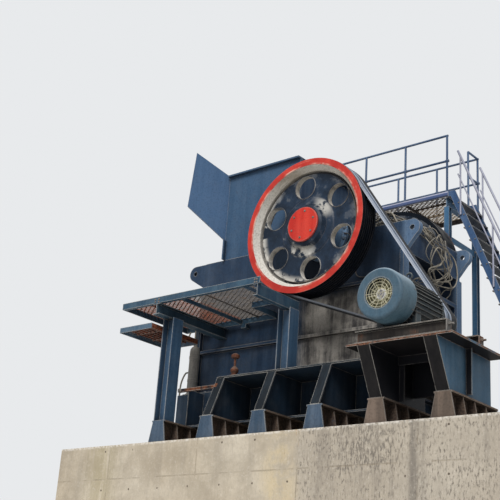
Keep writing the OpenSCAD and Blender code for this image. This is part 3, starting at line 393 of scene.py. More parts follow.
def stand_zones(bench):
    """Motor stand: near-black outer bands facing the viewer, painted shade on the undersides and inner webs,
    a blue outer side, and a rusty deck edge.
    """
    x, _, z = bench.place().parts()
    _, along, up = bench.facing().parts()
    # Near-black on faces towards the viewer. On the undersides and on the inner webs towards the feed end,
    # this is painted shade.
    under = up.fall(-0.8, -0.5)
    dark = total(along.fall(-0.6, -0.3), under, x.fall(2.3, 2.5))
    rusty = z.step(3.872, 3.878) * (1.0 - under)
    return {"Paint": mix(dark, (50, 82, 106), (18, 17, 19)),
            "Faded": mix(dark, (64, 98, 122), (30, 28, 29)),
            "Dust share": 0.4 - dark * 0.34,
            "Rust share": total(rusty * 0.6, 0.1)}


def walkway_zones(bench):
    """Walkway frame: the channel facing the crusher has a painted highlight along its top edge, lavender blue
    below it and navy at its foot; the beams below the deck are dark brown."""
    _, y, z = bench.place().parts()
    outer = bench.facing().parts()[1].fall(-0.6, -0.4) * y.fall(1.34, 1.35) * z.step(7.305, 7.312)
    blue = mix(z.step(7.326, 7.352), (36, 46, 66), (78, 94, 134))
    # Painted highlight: a pale line along the channel's top edge.
    blue = mix(z.step(7.374, 7.390), blue, (186, 190, 212))
    return {"Paint": mix(outer, (44, 36, 34), blue), "Faded": mix(outer, (64, 54, 48), blue)}


def walkway_deck_zones(bench):
    """Walkway deck: dark brown along its crusher side, cream beyond."""
    near = bench.place().parts()[1].fall(1.72, 1.84)
    return {"Paint": mix(near, (150, 134, 112), (50, 42, 36)),
            "Faded": mix(near, (186, 170, 144), (74, 62, 52)),
            "Dust share": 0.5 - near * 0.4}


def cowl_zones(bench):
    """Fan cowl: a painted highlight on up-facing faces, and the guard inside the opening is tan with dust."""
    x, y, z = bench.place().parts()
    guard = distance(x - MOTOR_X, z - MOTOR_Z).fall(0.178, 0.182) * y.fall(-2.41, -2.40)
    front = y.fall(-2.40, -2.36) * 0.8
    # Painted highlight: the cowl's up-facing faces are paler.
    level = bench.facing().parts()[2].step(0.3, 0.8)
    blue = mix(front, (74, 100, 114), (58, 82, 98))
    pale = mix(front, (90, 116, 130), (74, 98, 114))
    return {"Paint": mix(guard, mix(level, blue, (132, 160, 180)), (142, 136, 106)),
            "Faded": mix(guard, mix(level, pale, (146, 172, 190)), (172, 166, 134))}


def board_marked_concrete():
    """Smooth and beige at the feed end, greyer and flecked with upright dark marks to the
    motor end, with stains, fine pores, a few tie holes and panel joints."""
    material, bench, shader = new_material("board_marked_concrete")
    first_joint, half_panel, course_top, half_course = 0.715, 0.82, 2.53, 0.75
    hole_x0, hole_z0, hole_pitch_x, hole_pitch_z = 0.31, 2.12, 0.54, 0.53
    where = bench.place()
    x, _, z = where.parts()
    broad = where.noise(0.7, 4)
    cloud = where.noise(2.4, 8, 0.66)
    grain = where.noise(30, 6, 0.7)
    runs = where.stretch(7, 7, 0.5).noise(1.0, 6, 0.65)
    flecks = where.stretch(40, 40, 13).noise(1.0, 6, 0.72)
    motor_end = (x + broad * 0.4).step(0.86, 0.96)
    colour = mix(broad.step(0.3, 0.7), (182, 168, 146), (202, 191, 172))
    colour = mix(cloud.step(0.36, 0.66, 0.5, 0.0), colour, (146, 134, 116))
    colour = mix(motor_end * 0.55, colour, (172, 163, 150))
    feed_stain = x.band(-2.95, -2.45, 0.25) * 0.45 * runs.step(0.4, 0.6)
    colour = mix(feed_stain, colour, (168, 154, 112))
    seam_stain = x.band(0.22, 0.66, 0.16) * cloud.step(0.42, 0.62) * 0.5
    colour = mix(seam_stain, colour, (200, 178, 132))
    dirt = runs.step(0.46, 0.66) * z.step(1.7, 2.8, 0.2, 0.8) * (motor_end * 0.45 + 0.25)
    colour = mix(dirt, colour, (128, 120, 110))
    strip = x.band(2.26, 2.44, 0.03) * runs.step(0.34, 0.6) * 0.6
    colour = mix(strip, colour, (112, 106, 98))
    dense = x.band(1.35, 2.0, 0.3) * z.step(2.3, 2.7) * 0.06
    dark = (flecks + dense).step(0.52, 0.60) * cloud.step(0.36, 0.56, 0.35, 1.0) * (motor_end * 0.72 + 0.16)
    colour = mix(dark, colour, (112, 105, 96))
    colour = mix(flecks.fall(0.30, 0.42) * motor_end * 0.55, colour, (216, 208, 196))
    orange = where.stretch(26, 26, 2.2).noise(1.0, 4).step(0.60, 0.72) * x.band(0.5, 0.78, 0.08) * 0.7
    colour = mix(orange, colour, (166, 118, 66))
    lip = z.step(2.96, 2.99) * grain.step(0.4, 0.6) * 0.75
    colour = mix(lip, colour, (224, 218, 208))
    panel = (x - first_joint).calc("PINGPONG", half_panel)
    course = (z - course_top).calc("PINGPONG", half_course)
    joint = total(panel.fall(0.004, 0.014), course.fall(0.004, 0.014)) * cloud.step(0.44, 0.56)
    colour = mix(joint * 0.5, colour, (138, 126, 108))
    hole_x = (x - hole_x0).calc("PINGPONG", hole_pitch_x) - hole_pitch_x / 2
    hole_z = (z - hole_z0).calc("PINGPONG", hole_pitch_z) - hole_pitch_z / 2
    hole = distance(hole_x, hole_z).fall(0.010, 0.016) * broad.step(0.52, 0.54)
    pores = where.cells(30).fall(0.08, 0.15) * cloud.step(0.46, 0.6)
    colour = mix(total(hole * 0.9, pores * 0.3), colour, (84, 74, 62))
    colour = mix(grain.step(0.5, 0.72, 0.0, 0.3), colour, (216, 208, 194))
    boards = where.stretch(1.2, 1.2, 34).noise(1.0, 2)
    dents = total(hole, pores * 0.6, joint * 0.5, dark * 0.3)
    level = total(grain * 0.35, boards * 0.12, cloud * 0.35)
    rough = grain.step(0.3, 0.7, 0.82, 0.95)
    shade(bench, shader, colour, rough, level - dents * 0.8, depth=0.012, glint=0.25)
    return material


def wheel_colours():
    """A spoked wheel's zones, told by the distance from the shaft and from the middle plane: red rim face,
    cream dust on the cone inside it, navy web with dust near its rim, its holes and its hub, and a dark tread
    that is dusty on top. Painted shade darkens the groove between web and rim and the wheel's hollows, and
    the pale edges are worn paint with a painted highlight."""
    material, bench, shader = new_material("belt_wheel_paint")
    where = bench.place()
    x, y, z = where.parts()
    _, along, up = bench.facing().parts()
    rise = z - SHAFT_Z
    reach = abs(y)
    cross = abs(along)
    radius = distance(x, rise)
    angle = rise.calc("ARCTAN2", x)
    patch = where.noise(4.0, 6, 0.62)
    grain = where.noise(38, 4, 0.62)
    polar = bench.value("ShaderNodeCombineXYZ", 0, {"X": angle * 2.2, "Y": radius * 34, "Z": y})
    spun = polar.noise(1.0, 5, 0.6)

    left = (x * -0.75 + rise * -0.65).step(-0.2, 0.6, 0.15, 1.0)
    near_rim = radius.step(0.70, 0.80) * left * 0.9
    upper_right = angle.band(0.35, 1.15, 0.25)
    below = angle.band(-2.3, -1.2, 0.25)
    near_hub = radius.band(0.31, 0.44, 0.03) * total(upper_right, below) * 0.8
    drift = total(near_rim * patch.step(0.46, 0.52), near_hub * patch.step(0.49, 0.55),
                  left * patch.step(0.58, 0.64) * 0.5, grain.step(0.64, 0.8, 0.0, 0.2))
    web = mix(patch.step(0.38, 0.66), (18, 30, 44), (34, 50, 69))
    web = mix(drift, web, (196, 192, 183))
    cream = mix(where.noise(1.4, 3).step(0.36, 0.62), (160, 148, 130), (206, 200, 188))
    cream = mix(left * 0.55, cream, (228, 224, 216))
    cream = mix(grain.step(0.46, 0.68, 0.0, 0.45), cream, (124, 112, 98))
    cream = mix(spun.step(0.6, 0.7) * 0.4, cream, (232, 228, 218))
    hole_wall = radius.band(0.44, 0.81) * cross.fall(0.5, 0.9)
    colour = mix(hole_wall * patch.step(0.36, 0.56, 0.35, 1.0), web, cream)
    # Painted shade: the groove between the web and the rim is near-black, except where dust lies towards the
    # lower left.
    recess_shade = radius.band(0.800, 0.846, 0.002) * reach.band(1.13, 1.150, 0.002)
    colour = mix(recess_shade * 0.9 * (1.0 - left * patch.step(0.36, 0.5)), colour, (36, 34, 38))
    cone = total(radius.band(0.842, 0.907, 0.003) * reach.step(1.0, 1.002),
                 radius.band(0.80, 0.812, 0.002) * cross.fall(0.4, 0.6))
    colour = mix(cone, colour, cream)

    red = mix(patch.step(0.36, 0.66), (176, 48, 40), (202, 66, 54))
    # Pale near the red face's outer rim and in turned streaks and specks: worn paint, and a painted highlight
    # along the rim edge.
    worn_and_lit = total(radius.band(0.90, 0.926, 0.006) * 0.75, spun.step(0.60, 0.70) * 0.55,
                 grain.step(0.68, 0.8, 0.0, 0.4))
    red = mix(worn_and_lit * patch.step(0.40, 0.62), red, (206, 182, 162))
    face = reach.step(1.288, 1.291) * radius.step(0.90, 0.906)
    colour = mix(face, colour, red)
    tread = mix(grain.step(0.4, 0.7), (4, 11, 20), (12, 20, 32))
    top = up.step(0.1, 0.9) * patch.step(0.3, 0.6) * 0.8
    tread = mix(total(top, spun.step(0.62, 0.75, 0.0, 0.03)), tread, (120, 118, 114))
    outer = radius.step(0.93, 0.935) * reach.fall(1.290, 1.293)
    colour = mix(outer, colour, tread)
    away_from_tread = 1.0 - outer * 0.8
    # Pale edges, kept off the tread: worn, dusty paint, and a painted highlight along them.
    edge = edge_mask(bench, radius=0.012, gain=2.2) * patch.step(0.36, 0.6) * away_from_tread * 0.7
    colour = mix(edge, colour, (176, 160, 146))
    # Painted shade: near-black in the wheel's hollows, kept off the tread.
    colour = mix(bench.openness(0.12).step(0.35, 0.8, 0.55, 0.0) * away_from_tread, colour, (34, 30, 30))
    rough = total(drift, cone, outer).step(0.0, 0.7, 0.42, 0.9)
    height = total(grain * 0.5, spun * 0.25)
    shade(bench, shader, colour, rough, height, depth=0.004, strength=0.5, glint=0.18)
    return material


def dusty_belt_rubber():
    """Two pale grey bands on the belts nearest to the open side, each with a lighter outer edge, a dark gap
    between them, and dark rubber on the rest. The pale bands fade out on the lower run, below the line from
    shaft to shaft, which is painted shade."""
    material, bench, shader = new_material("dusty_belt_rubber")
    where = bench.place()
    x, y, z = where.parts()
    above = x * (SHAFT_Z - MOTOR_Z) + (z - SHAFT_Z) * MOTOR_X
    first_belt, pitch = 1.265, 0.044
    across = (y + first_belt).calc("DIVIDE", pitch).calc("PINGPONG", 0.5)
    line = across.fall(0.04, 0.12) * 0.6
    grain = where.noise(60, 4)
    # Painted shade: the pale bands fade to dark rubber on the lower run, below the line from shaft to shaft.
    pale = total(y.band(-1.27, -1.190), y.band(-1.164, -1.116)) * above.step(-0.6, 0.6, 0.12, 1.0)
    edge = total(y.band(-1.27, -1.240, 0.006), y.band(-1.140, -1.116, 0.006))
    colour = mix(where.noise(5, 5).step(0.36, 0.66), (112, 125, 143), (146, 159, 178))
    colour = mix(edge * 0.65, colour, (206, 212, 222))
    colour = mix(line, colour, (40, 46, 58))
    colour = mix(pale, (14, 18, 25), colour)
    colour = mix(grain.step(0.5, 0.75, 0.0, 0.2), colour, (160, 152, 138))
    shade(bench, shader, colour, grain.step(0.3, 0.7, 0.7, 0.9), grain - line, depth=0.003)
    return material


def bare_metal(name, names, dark, bright, rough, streak, rust):
    """Bare metal with fine turning or wear marks, dulled by dust and a little rust."""
    material, bench, shader = new_material(name)
    where = bench.place()
    marks = where.stretch(*streak).noise(1.0, 4, 0.6)
    patch = where.noise(6, 6, 0.65)
    stain = patch.step(0.5, 0.66) * rust
    colour = mix(stain, mix(marks.step(0.35, 0.65), dark, bright), (112, 74, 50))
    bench.feed(shader.inputs["Metallic"], stain.step(0.0, 0.5, 0.75, 0.1))
    height = total(marks * 0.6, where.noise(70, 3) * 0.3)
    rough = (patch + stain).step(0.3, 1.0, rough, 0.85)
    shade(bench, shader, colour, rough, height, depth=0.002, strength=0.4)
    return cover(material, names)


def pale_floor():
    """Pale studio floor with a faint mottle."""
    material, bench, shader = new_material("pale_floor")
    mottle = bench.place().noise(3, 5)
    bench.feed(shader.inputs["Base Color"], mix(mottle, (214, 213, 210), (224, 223, 220)))
    shader.inputs["Roughness"].default_value = 0.9
    return material


# Shapes, each worked out as whole arrays of points

def quads(rows, columns):
    """Faces of a closed grid, whose point in row i and column j is i * columns + j."""
    i, j = np.meshgrid(np.arange(rows - 1), np.arange(columns), indexing="ij")
    after = (j + 1) % columns
    corners = (i * columns + j, i * columns + after, (i + 1) * columns + after, (i + 1) * columns + j)
    return np.stack(corners, -1).reshape(-1, 4).tolist()


def capped(rows, columns):
    """The faces of a closed grid and a flat end on its first and its last row."""
    last = (rows - 1) * columns
    return quads(rows, columns) + [list(range(columns))[::-1], list(range(last, last + columns))]


def shifted(faces, by):
    return [[corner + by for corner in face] for face in faces]


def unit(vectors):
    return vectors / np.linalg.norm(vectors, axis=-1, keepdims=True)


def cross_axes(direction):
    """Two unit directions at right angles to the given one and to each other."""
    n = unit(np.asarray(direction, float))
    helper = np.array([1.0, 0, 0]) if abs(n[0]) < 0.9 else np.array([0, 1.0, 0])
    u = unit(np.cross(n, helper))
    return u, np.cross(n, u), n


def angles(count):
    return np.arange(count) * 2 * math.pi / count


def circle(radius, sides=10):
    return radius * np.stack([np.cos(angles(sides)), np.sin(angles(sides))], 1)


def spokes(turn, u, v):
    """Directions at the given angles from u towards v."""
    return np.cos(turn)[:, None] * u + np.sin(turn)[:, None] * v


def turned(profile, centre, direction, sides=32, loop=False):
    """A turned shape: point (i, j) is the centre, plus profile height i along the direction,
    plus profile radius i round it at the angle of side j. A loop profile closes on itself;
    any other is closed with a flat end at its first and last row."""
    u, v, n = cross_axes(direction)
    profile = np.asarray(profile, float)
    if loop:
        profile = np.vstack([profile, profile[:1]])
    spoke = spokes(angles(sides), u, v)
    points = np.asarray(centre, float) + profile[:, None, 1:] * n + profile[:, None, :1] * spoke
    return points.reshape(-1, 3), (quads if loop else capped)(len(profile), sides)


def hoop(centre, direction, radius, wire, sides=48):
    """A round bar bent into a ring: a circle of the wire's radius, turned about the direction."""
    return turned(circle(wire) + (radius, 0), centre, direction, sides, loop=True)


def bar(path, outline, side, lift):
    """A bar along a path: point (i, j) is path point i, plus the outline's first number j
    times side direction i, plus its second number j times lift direction i."""
    points = path[:, None] + outline[None, :, :1] * side[:, None] + outline[None, :, 1:] * lift[:, None]
    return points.reshape(-1, 3), capped(len(path), len(outline))


def swept(path, outline, lean=UP):
    """A bar along a path, its points as in bar(). The side direction is the path's tangent
    crossed with lean; the lift is the side crossed with the tangent."""
    path = np.asarray(path, float)
    tangent = unit(np.gradient(path, axis=0))
    side = unit(np.cross(tangent, np.asarray(lean, float)))
    return bar(path, outline, side, np.cross(side, tangent))


def coil(start, end, radius, wire, turns):
    """A spring: the path point at share s is s of the way from start to end, plus the radius
    round that line at the angle s times the number of turns."""
    start, end = np.asarray(start, float), np.asarray(end, float)
    u, v, _ = cross_axes(end - start)
    s = np.linspace(0, 1, turns * 20 + 1)
    around = spokes(s * turns * 2 * math.pi, u, v)
    path = start + s[:, None] * (end - start) + radius * around
    tangent = unit(np.gradient(path, axis=0))
    return bar(path, circle(wire, 8), around, np.cross(tangent, around))


def slab(width, height, chamfer=0.004):
    """A rectangle with its four corners cut off."""
    w, h, c = width / 2, height / 2, chamfer
    return np.array([(w, -h + c), (w, h - c), (w - c, h), (-w + c, h),
                     (-w, h - c), (-w, -h + c), (-w + c, -h), (w - c, -h)])


def bent(points, count=40):
    """A smooth line through the given points: cubic pieces whose slope at a point is half
    the way from the point before it to the point after it."""
    points = np.asarray(points, float)
    slope = np.gradient(points, axis=0)
    t = np.linspace(0, len(points) - 1, count)
    i = np.minimum(t.astype(int), len(points) - 2)
    s = (t - i)[:, None]
    return ((2 * s**3 - 3 * s**2 + 1) * points[i] + (s**3 - 2 * s**2 + s) * slope[i]
            + (3 * s**2 - 2 * s**3) * points[i + 1] + (s**3 - s**2) * slope[i + 1])


def hose(points, radius, count=36, lean=AWAY, sides=10):
    return swept(bent(points, count), circle(radius, sides), lean)


def bolts(places, direction, size):
    """Hexagon heads on round washers, one at each place. A head's radius at an angle is its
    across-corners radius times cos 30 over the cosine of the angle from the flat's middle."""
    u, v, n = cross_axes(direction)
    t = angles(12)
    hexagon = math.cos(math.pi / 6) / np.cos((t % (math.pi / 3)) - math.pi / 6)
    washer, crown = np.full(12, 1.3), np.full(12, 0.78)
    washer_h, head_h, crown_h = 0.2, 0.8, 0.95
    radii = np.stack([washer, washer, hexagon, hexagon, crown]) * size
    heights = np.array([0.0, washer_h, washer_h, head_h, crown_h]) * size
    template = (radii[:, :, None] * spokes(t, u, v) + heights[:, None, None] * n).reshape(-1, 3)
    places = np.asarray(places, float).reshape(-1, 3)
    points = (places[:, None] + template).reshape(-1, 3)
    return points, [face for k in range(len(places)) for face in shifted(capped(5, 12), k * 60)]


def grid(xs, ys, zs):
    """Every place with one of the xs, one of the ys and one of the zs, each of which may be
    a single number."""
    return np.stack(np.meshgrid(xs, ys, zs, indexing="ij"), -1).reshape(-1, 3)


def round_places(x, y, z, radius, count, start=0.0):
    """Places evenly spaced on an upright circle across Y, the first at the start angle."""
    return (x, y, z) + radius * spokes(math.radians(start) + angles(count), (1, 0, 0), (0, 0, 1))


def diamond_mesh(x0, x1, y0, y1, top, pitch=(0.096, 0.036), width=0.011, depth=0.012):
    """Expanded metal: strand k runs along X and swings half a pitch to each side of its own
    line, so that it touches the strands beside it at every turn."""
    turns = int(round((x1 - x0) / pitch[0] * 2))
    rows = int((y1 - y0) / pitch[1])
    swing = (-1.0) ** np.arange(turns + 1) * (pitch[1] / 2 - width / 2)
    k = np.arange(rows)
    y = (y0 + (k + 0.5) * (y1 - y0) / rows)[:, None] + ((-1.0) ** k)[:, None] * swing
    x = np.broadcast_to(np.linspace(x0, x1, turns + 1), y.shape)
    line = np.stack([x, y, np.full(y.shape, top)], -1)
    w = width / 2
    corners = np.array([(0, -w, -depth), (0, w, -depth), (0, w, 0), (0, -w, 0)])
    strand = capped(turns + 1, 4)
    faces = [face for r in range(rows) for face in shifted(strand, r * (turns + 1) * 4)]
    return (line[:, :, None] + corners).reshape(-1, 3), faces


def piece(name, shapes, material, body="plant", stands_for=()):
    """One object from several shapes, faces turned outwards, riding on a body. Edges of more
    than 38 degrees stay sharp."""
    faces, base = [], 0
    for shape_points, shape_faces in shapes:
        faces += shifted(shape_faces, base)
        base += len(shape_points)
    mesh = bpy.data.meshes.new(name)
    mesh.from_pydata(np.vstack([shape_points for shape_points, _ in shapes]).tolist(), [], faces)
    work = bmesh.new()
    work.from_mesh(mesh)
    bmesh.ops.recalc_face_normals(work, faces=work.faces)
    work.to_mesh(mesh)
    work.free()
    mesh.shade_smooth()
    mesh.set_sharp_from_angle(angle=math.radians(38))
    mesh.materials.append(material)
    made = bpy.data.objects.new(name, mesh)
    bpy.context.scene.collection.objects.link(made)
    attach(made, body)
    if stands_for:
        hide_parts(*stands_for)
    return made


bpy.context.scene.view_settings.view_transform = "Standard"
photo_camera()
studio_world()
soft_lamp("soft_sun", azimuth=18, elevation=46, strength=2.7, spread=28)


# Finishes

WEATHERED = weathered_steel()
cover(board_marked_concrete(), "near_foundation_wall far_foundation_wall")
steel("pedestal_paint", "near_pedestals far_pedestals", dust=0.25, enclosed_shade=0.5, zones=pedestal_zones,
      light_rust=(122, 102, 86), dark_rust=(80, 66, 56))
steel("girder_paint", "near_base_girder far_base_girder", edge=1.0, enclosed_shade=0.3, zones=girder_zones)
steel("cross_beam_paint", "base_cross_beams", (28, 42, 60), (40, 58, 78), rust=0.3, dust=0.35, edge=0.6)
steel("stand_paint", "motor_stand", edge=1.0, enclosed_shade=0.9, zones=stand_zones)
steel("platform_paint", "near_platform_frame", (44, 68, 88), (62, 90, 108), edge=0.9, enclosed_shade=0.5)
steel("post_paint", "near_platform_posts", (52, 78, 104), (70, 98, 124), rust=0.14, edge=0.9, enclosed_shade=0.4)
steel("portal_paint", "walkway_posts", (58, 98, 132), (80, 120, 152), rust=0.12, dust=0.25, edge=0.8,
      enclosed_shade=0.4)
steel("walkway_paint", "walkway_frame", rust=0.16, dust=0.35, edge=1.0, zones=walkway_zones)
steel("stair_paint", "stair_sides", (54, 82, 118), (74, 102, 138), rust=0.14, edge=0.8, enclosed_shade=0.3)
steel("body_paint", "near_side_plate far_side_plate", rust=0.12, edge=0.9, zones=body_zones)
steel("frame_paint", "front_frame rear_frame swing_jaw hopper_back", (34, 54, 80), (48, 72, 98), rust=0.18,
      dust=0.35, edge=0.8, enclosed_shade=0.8)
steel("hopper_paint", "near_hopper_side far_hopper_side", (52, 78, 104), (63, 89, 116), rust=0.06, dust=0.16,
      edge=0.25, gloss=0.42)
steel("feed_paint", "near_feed_cheek far_feed_cheek feed_plate", (56, 82, 112), (68, 96, 128), rust=0.06,
      dust=0.16, edge=0.35, gloss=0.42)
steel("housing_paint", "near_bearing_housing far_bearing_housing", (104, 138, 174), (128, 160, 192),
      rust=0.12, dust=0.4, edge=0.8, enclosed_shade=0.0)
motor_paint = steel("motor_paint", "motor_frame", (44, 58, 66), (66, 82, 90), rust=0.14, dust=0.8, edge=0.6,
                    gloss=0.42)
cowl_paint = steel("cowl_paint", "fan_cowl", rust=0.05, edge=0.7, grime_and_shade=0.1, enclosed_shade=0.0, gloss=0.36,
                   zones=cowl_zones)
fan_paint = steel("fan_paint", "motor_fan", (226, 220, 180), (250, 246, 220), rust=0.08, dust=0.1, edge=0.6,
                  grime_and_shade=0.2, enclosed_shade=0.0)
steel("rusty_rails", "motor_slide_rails", (34, 32, 32), (58, 52, 48), rust=0.4, dust=0.4, edge=1.0)
rusty_rods = steel("rusty_rods", "tension_rods", (74, 50, 40), (96, 62, 48), rust=0.75, dust=0.16, edge=0.3,
                   enclosed_shade=0.3, light_rust=(108, 64, 46))
rusty_deck = steel("rusty_deck", "near_platform_grating", dust=0.4, edge=0.4, enclosed_shade=0.3, zones=deck_zones)
cream_deck = steel("cream_deck", "walkway_grating", rust=0.3, edge=0.3, enclosed_shade=0.1, zones=walkway_deck_zones)
steel("tread_steel", "stair_treads", (26, 38, 56), (42, 56, 74), rust=0.25, dust=0.6, edge=0.8, enclosed_shade=0.3)
steel("landing_steel", "step_landing", edge=0.7, zones=landing_zones)
railing_paint = steel("railing_paint", "walkway_railing", (62, 84, 114), (92, 114, 144), rust=0.12, dust=0.35,
                      edge=0.3, enclosed_shade=0.0)
steel("handrail_paint", "stair_handrails", (146, 148, 164), (174, 176, 190), rust=0.12, dust=0.35, edge=0.3,
      enclosed_shade=0.0)
steel("hub_red", "near_hub_cap far_hub_cap", (184, 44, 36), (208, 64, 50), rust=0.08, dust=0.16, edge=0.7,
      grime_and_shade=0.2, enclosed_shade=0.0, gloss=0.36)
steel("pulley_paint", "motor_pulley", (26, 30, 36), (46, 50, 56), rust=0.15, edge=0.6)
wheel_paint = cover(wheel_colours(), "drive_wheel flywheel")
cover(dusty_belt_rubber(), "v_belts")
bare_metal("worn_jaw_steel", "fixed_jaw_liner swing_jaw_liner toggle_plate", (92, 88, 84), (150, 146, 140),
           0.35, (4, 4, 40), 0.6)
bare_metal("turned_shaft_steel", "crankshaft motor_shaft", (134, 134, 136), (176, 176, 180),
           0.3, (60, 60, 60), 0.3)
vessel_paint = steel("vessel_paint", "", (112, 110, 108), (150, 146, 138), rust=0.25, dust=0.4, edge=0.7,
                     enclosed_shade=0.2)
bolt_steel = steel("bolt_steel", "", (86, 84, 84), (120, 116, 112), rust=0.5, dust=0.4, edge=0.7)
blue_bolts = steel("blue_bolts", "", (88, 116, 148), (120, 146, 172), rust=0.25, dust=0.45, edge=0.9,
                   enclosed_shade=0.2)
hose_rubber = steel("hose_rubber", "", (92, 90, 86), (176, 168, 152), rust=0.03, dust=0.4, edge=0.1,
                    enclosed_shade=0.2, gloss=0.7)
pale_ring = steel("pale_ring", "", (210, 210, 212), (228, 228, 228), rust=0.03, dust=0.15, edge=0.3,
                  grime_and_shade=0.1, enclosed_shade=0.0)


# Floor, and bolts along the base and the body

def studio_floor():
    """A wide disc of floor just under the walls."""
    made = piece("studio_floor", [turned([(60, -0.06), (60, 0.0), (30, 0.0)], (0, 0, -0.002), UP, 48)],
                 pale_floor())


studio_floor()

rib_bays = np.array([1.02, 1.287, 1.553, 1.82])
foot_plate_z, flange_z, side_foot_z = 3.02, 3.345, 3.93
far_xs = PEDESTAL_XS[:4]
places = [grid((x - 0.125, x + 0.125), -rib_bays, foot_plate_z) for x in PEDESTAL_XS]
places += [grid((x - 0.125, x + 0.125), rib_bays, foot_plate_z) for x in far_xs]
places += [grid((x - 0.075, x + 0.075), (-1.34, -1.19, 1.19, 1.34), flange_z) for x in far_xs]
piece("pedestal_bolts", [bolts(np.vstack(places), UP, 0.02)], bolt_steel)

foot_xs = [x for x in np.linspace(-2.2, 1.22, 14) if min(abs(x - rib_x) for rib_x in far_xs[1:]) > 0.06]
piece("body_bolts", [bolts(grid(foot_xs, (-0.92, 0.92), side_foot_z), UP, 0.026)], blue_bolts)
piece("hopper_bolts", [bolts(grid(np.arange(-1.88, -0.6, 0.14), (-0.757, 0.757), HOPPER_TOP), UP, 0.014)],
      blue_bolts)

flange_y, cover_y, web_y, cap_y = 0.775, 0.945, 1.181, 1.311
hole_circle, hole_r, first_hole = 0.63, 0.174, 37.3
shapes, hub_shapes, rims = [], [], []
for side in (-1, 1):
    outward = (0, side, 0)
    shapes += [bolts(round_places(0, side * flange_y, SHAFT_Z, 0.35, 14, start=10), outward, 0.021),
               bolts(round_places(0, side * cover_y, SHAFT_Z, 0.237, 8, start=14), outward, 0.016)]
    hub_shapes.append(bolts(round_places(0, side * cap_y, SHAFT_Z, 0.195, 6, start=20), outward, 0.013))
    rims += [hoop(centre, AWAY, hole_r, 0.007, 40)
             for centre in round_places(0, side * web_y, SHAFT_Z, hole_circle, 6, start=first_hole)]
piece("housing_bolts", shapes, blue_bolts)
piece("hub_cap_bolts", hub_shapes, bolt_steel, body="crank_rotor")
piece("web_hole_rims", rims, wheel_paint, body="crank_rotor")

channel_y, beam_flange_z, ground_plate_z = -2.175, 4.772, 0.02


def foot_plate(x, y, width, length):
    return swept([(x, y, PLATE_FOOT), (x, y, PLATE_TOP)], slab(width, length, 0.01), AWAY)


shapes = [bolts(grid((-1.87, -1.80, -0.055, -0.02), channel_y, (4.955, 4.995)), TO_VIEWER, 0.011),
          bolts(grid((-1.87, -1.80), (-1.78, -1.92), beam_flange_z), UP, 0.013),
          bolts(grid((-0.10, 0.04), (-1.53, -1.39), PLATE_TOP), UP, 0.013),
          foot_plate(-0.03, -1.46, 0.25, 0.25)]
for x in (-1.36, 0.738):
    shapes += [foot_plate(x, 1.41, 0.24, 0.15),
               bolts(grid((x - 0.09, x + 0.09), (1.365, 1.455), PLATE_TOP), UP, 0.012),
               bolts(grid((x - 0.088, x + 0.088), (2.212, 2.388), ground_plate_z), UP, 0.012)]
piece("post_feet_and_bolts", shapes, bolt_steel)

treads, tread_rise, half_tread, head_x, slope = 19, 0.22, 0.075, 0.92, 67
tread_z = WALL_TOP + tread_rise * np.arange(1, treads + 1)
tread_x = head_x + (WALKWAY_TOP - tread_z) / math.tan(math.radians(slope)) - half_tread
shapes = []
for y, outward in ((1.33, TO_VIEWER), (2.03, AWAY)):
    places = [np.stack([tread_x + d, np.full(treads, y), tread_z - 0.015], 1) for d in (-0.045, 0.045)]
    shapes.append(bolts(np.vstack(places), outward, 0.010))
piece("stair_bolts", shapes, bolt_steel)

post_places = [(x, y) for x in (-1.56, -0.7867, -0.0133, 0.76) for y in (1.37, 2.385)]
flange = [(0.038, 0.0), (0.038, 0.010), (0.024, 0.014), (0.024, 0.030)]
collar = [(0.0235, -0.03), (0.0235, 0.03)]
shapes = [turned(flange, (x, y, WALKWAY_TOP), UP, 16) for x, y in post_places]
knee_rail_z = WALKWAY_TOP + 0.55
shapes += [turned(collar, (x, y, knee_rail_z), TO_MOTOR_END, 14) for x, y in post_places]
piece("railing_flanges", shapes, railing_paint)

piece("rod_springs", [coil((1.357, y, 4.22), (1.683, y, 4.22), 0.079, 0.013, 9) for y in (-0.3, 0.3)],
      bolt_steel)


# Motor

def motor_ring(radius, wire, reach):
    return hoop((MOTOR_X, -reach, MOTOR_Z), AWAY, radius, wire, 64)


piece("cowl_lip", [motor_ring(0.189, 0.008, 2.4165)], cowl_paint)
piece("cowl_guard", [motor_ring(r, 0.0025, 2.4215) for r in np.arange(0.060, 0.18, 0.036)], fan_paint)
cowl_r, cowl_back_y, foot_z, bell_y = 0.311, -2.125, 4.095, -1.405
shapes = []
for t in np.radians(np.arange(15, 375, 45)):
    out = np.array([math.cos(t), 0, math.sin(t)])
    shapes.append(bolts((MOTOR_X, cowl_back_y, MOTOR_Z) + cowl_r * out, out, 0.008))
shapes += [bolts(grid((MOTOR_X - 0.25, MOTOR_X + 0.25), (-1.545, -1.985), foot_z), UP, 0.018),
           bolts(round_places(MOTOR_X, bell_y, MOTOR_Z, 0.20, 6, start=30), AWAY, 0.011)]
piece("motor_bolts", shapes, bolt_steel)
eye_foot = [(0.030, 0.0), (0.034, 0.008), (0.030, 0.034), (0.016, 0.046), (0.014, 0.056)]
eye_y = -1.77
piece("motor_eyebolt", [hoop((MOTOR_X, eye_y, 4.808), AWAY, 0.040, 0.011, 32),
                        turned(eye_foot, (MOTOR_X, eye_y, 4.712), UP, 20)], motor_paint)
plate = swept([(1.578, -1.695, 4.44), (1.566, -1.695, 4.44)], slab(0.25, 0.22, 0.02))
gland = turned([(0.036, 0.0), (0.036, -0.02), (0.028, -0.022), (0.028, -0.05), (0.022, -0.056)],
               (1.655, -1.62, 4.322), UP, 16)
plate_bolts = bolts(grid(1.566, (-1.80, -1.59), (4.35, 4.53)), TO_FEED_END, 0.008)
piece("terminal_box_cover", [plate, gland, plate_bolts], motor_paint)
conduit = [(1.655, -1.62, 4.29), (1.655, -1.62, 4.16), (1.652, -1.66, 4.02), (1.65, -1.70, 3.906)]
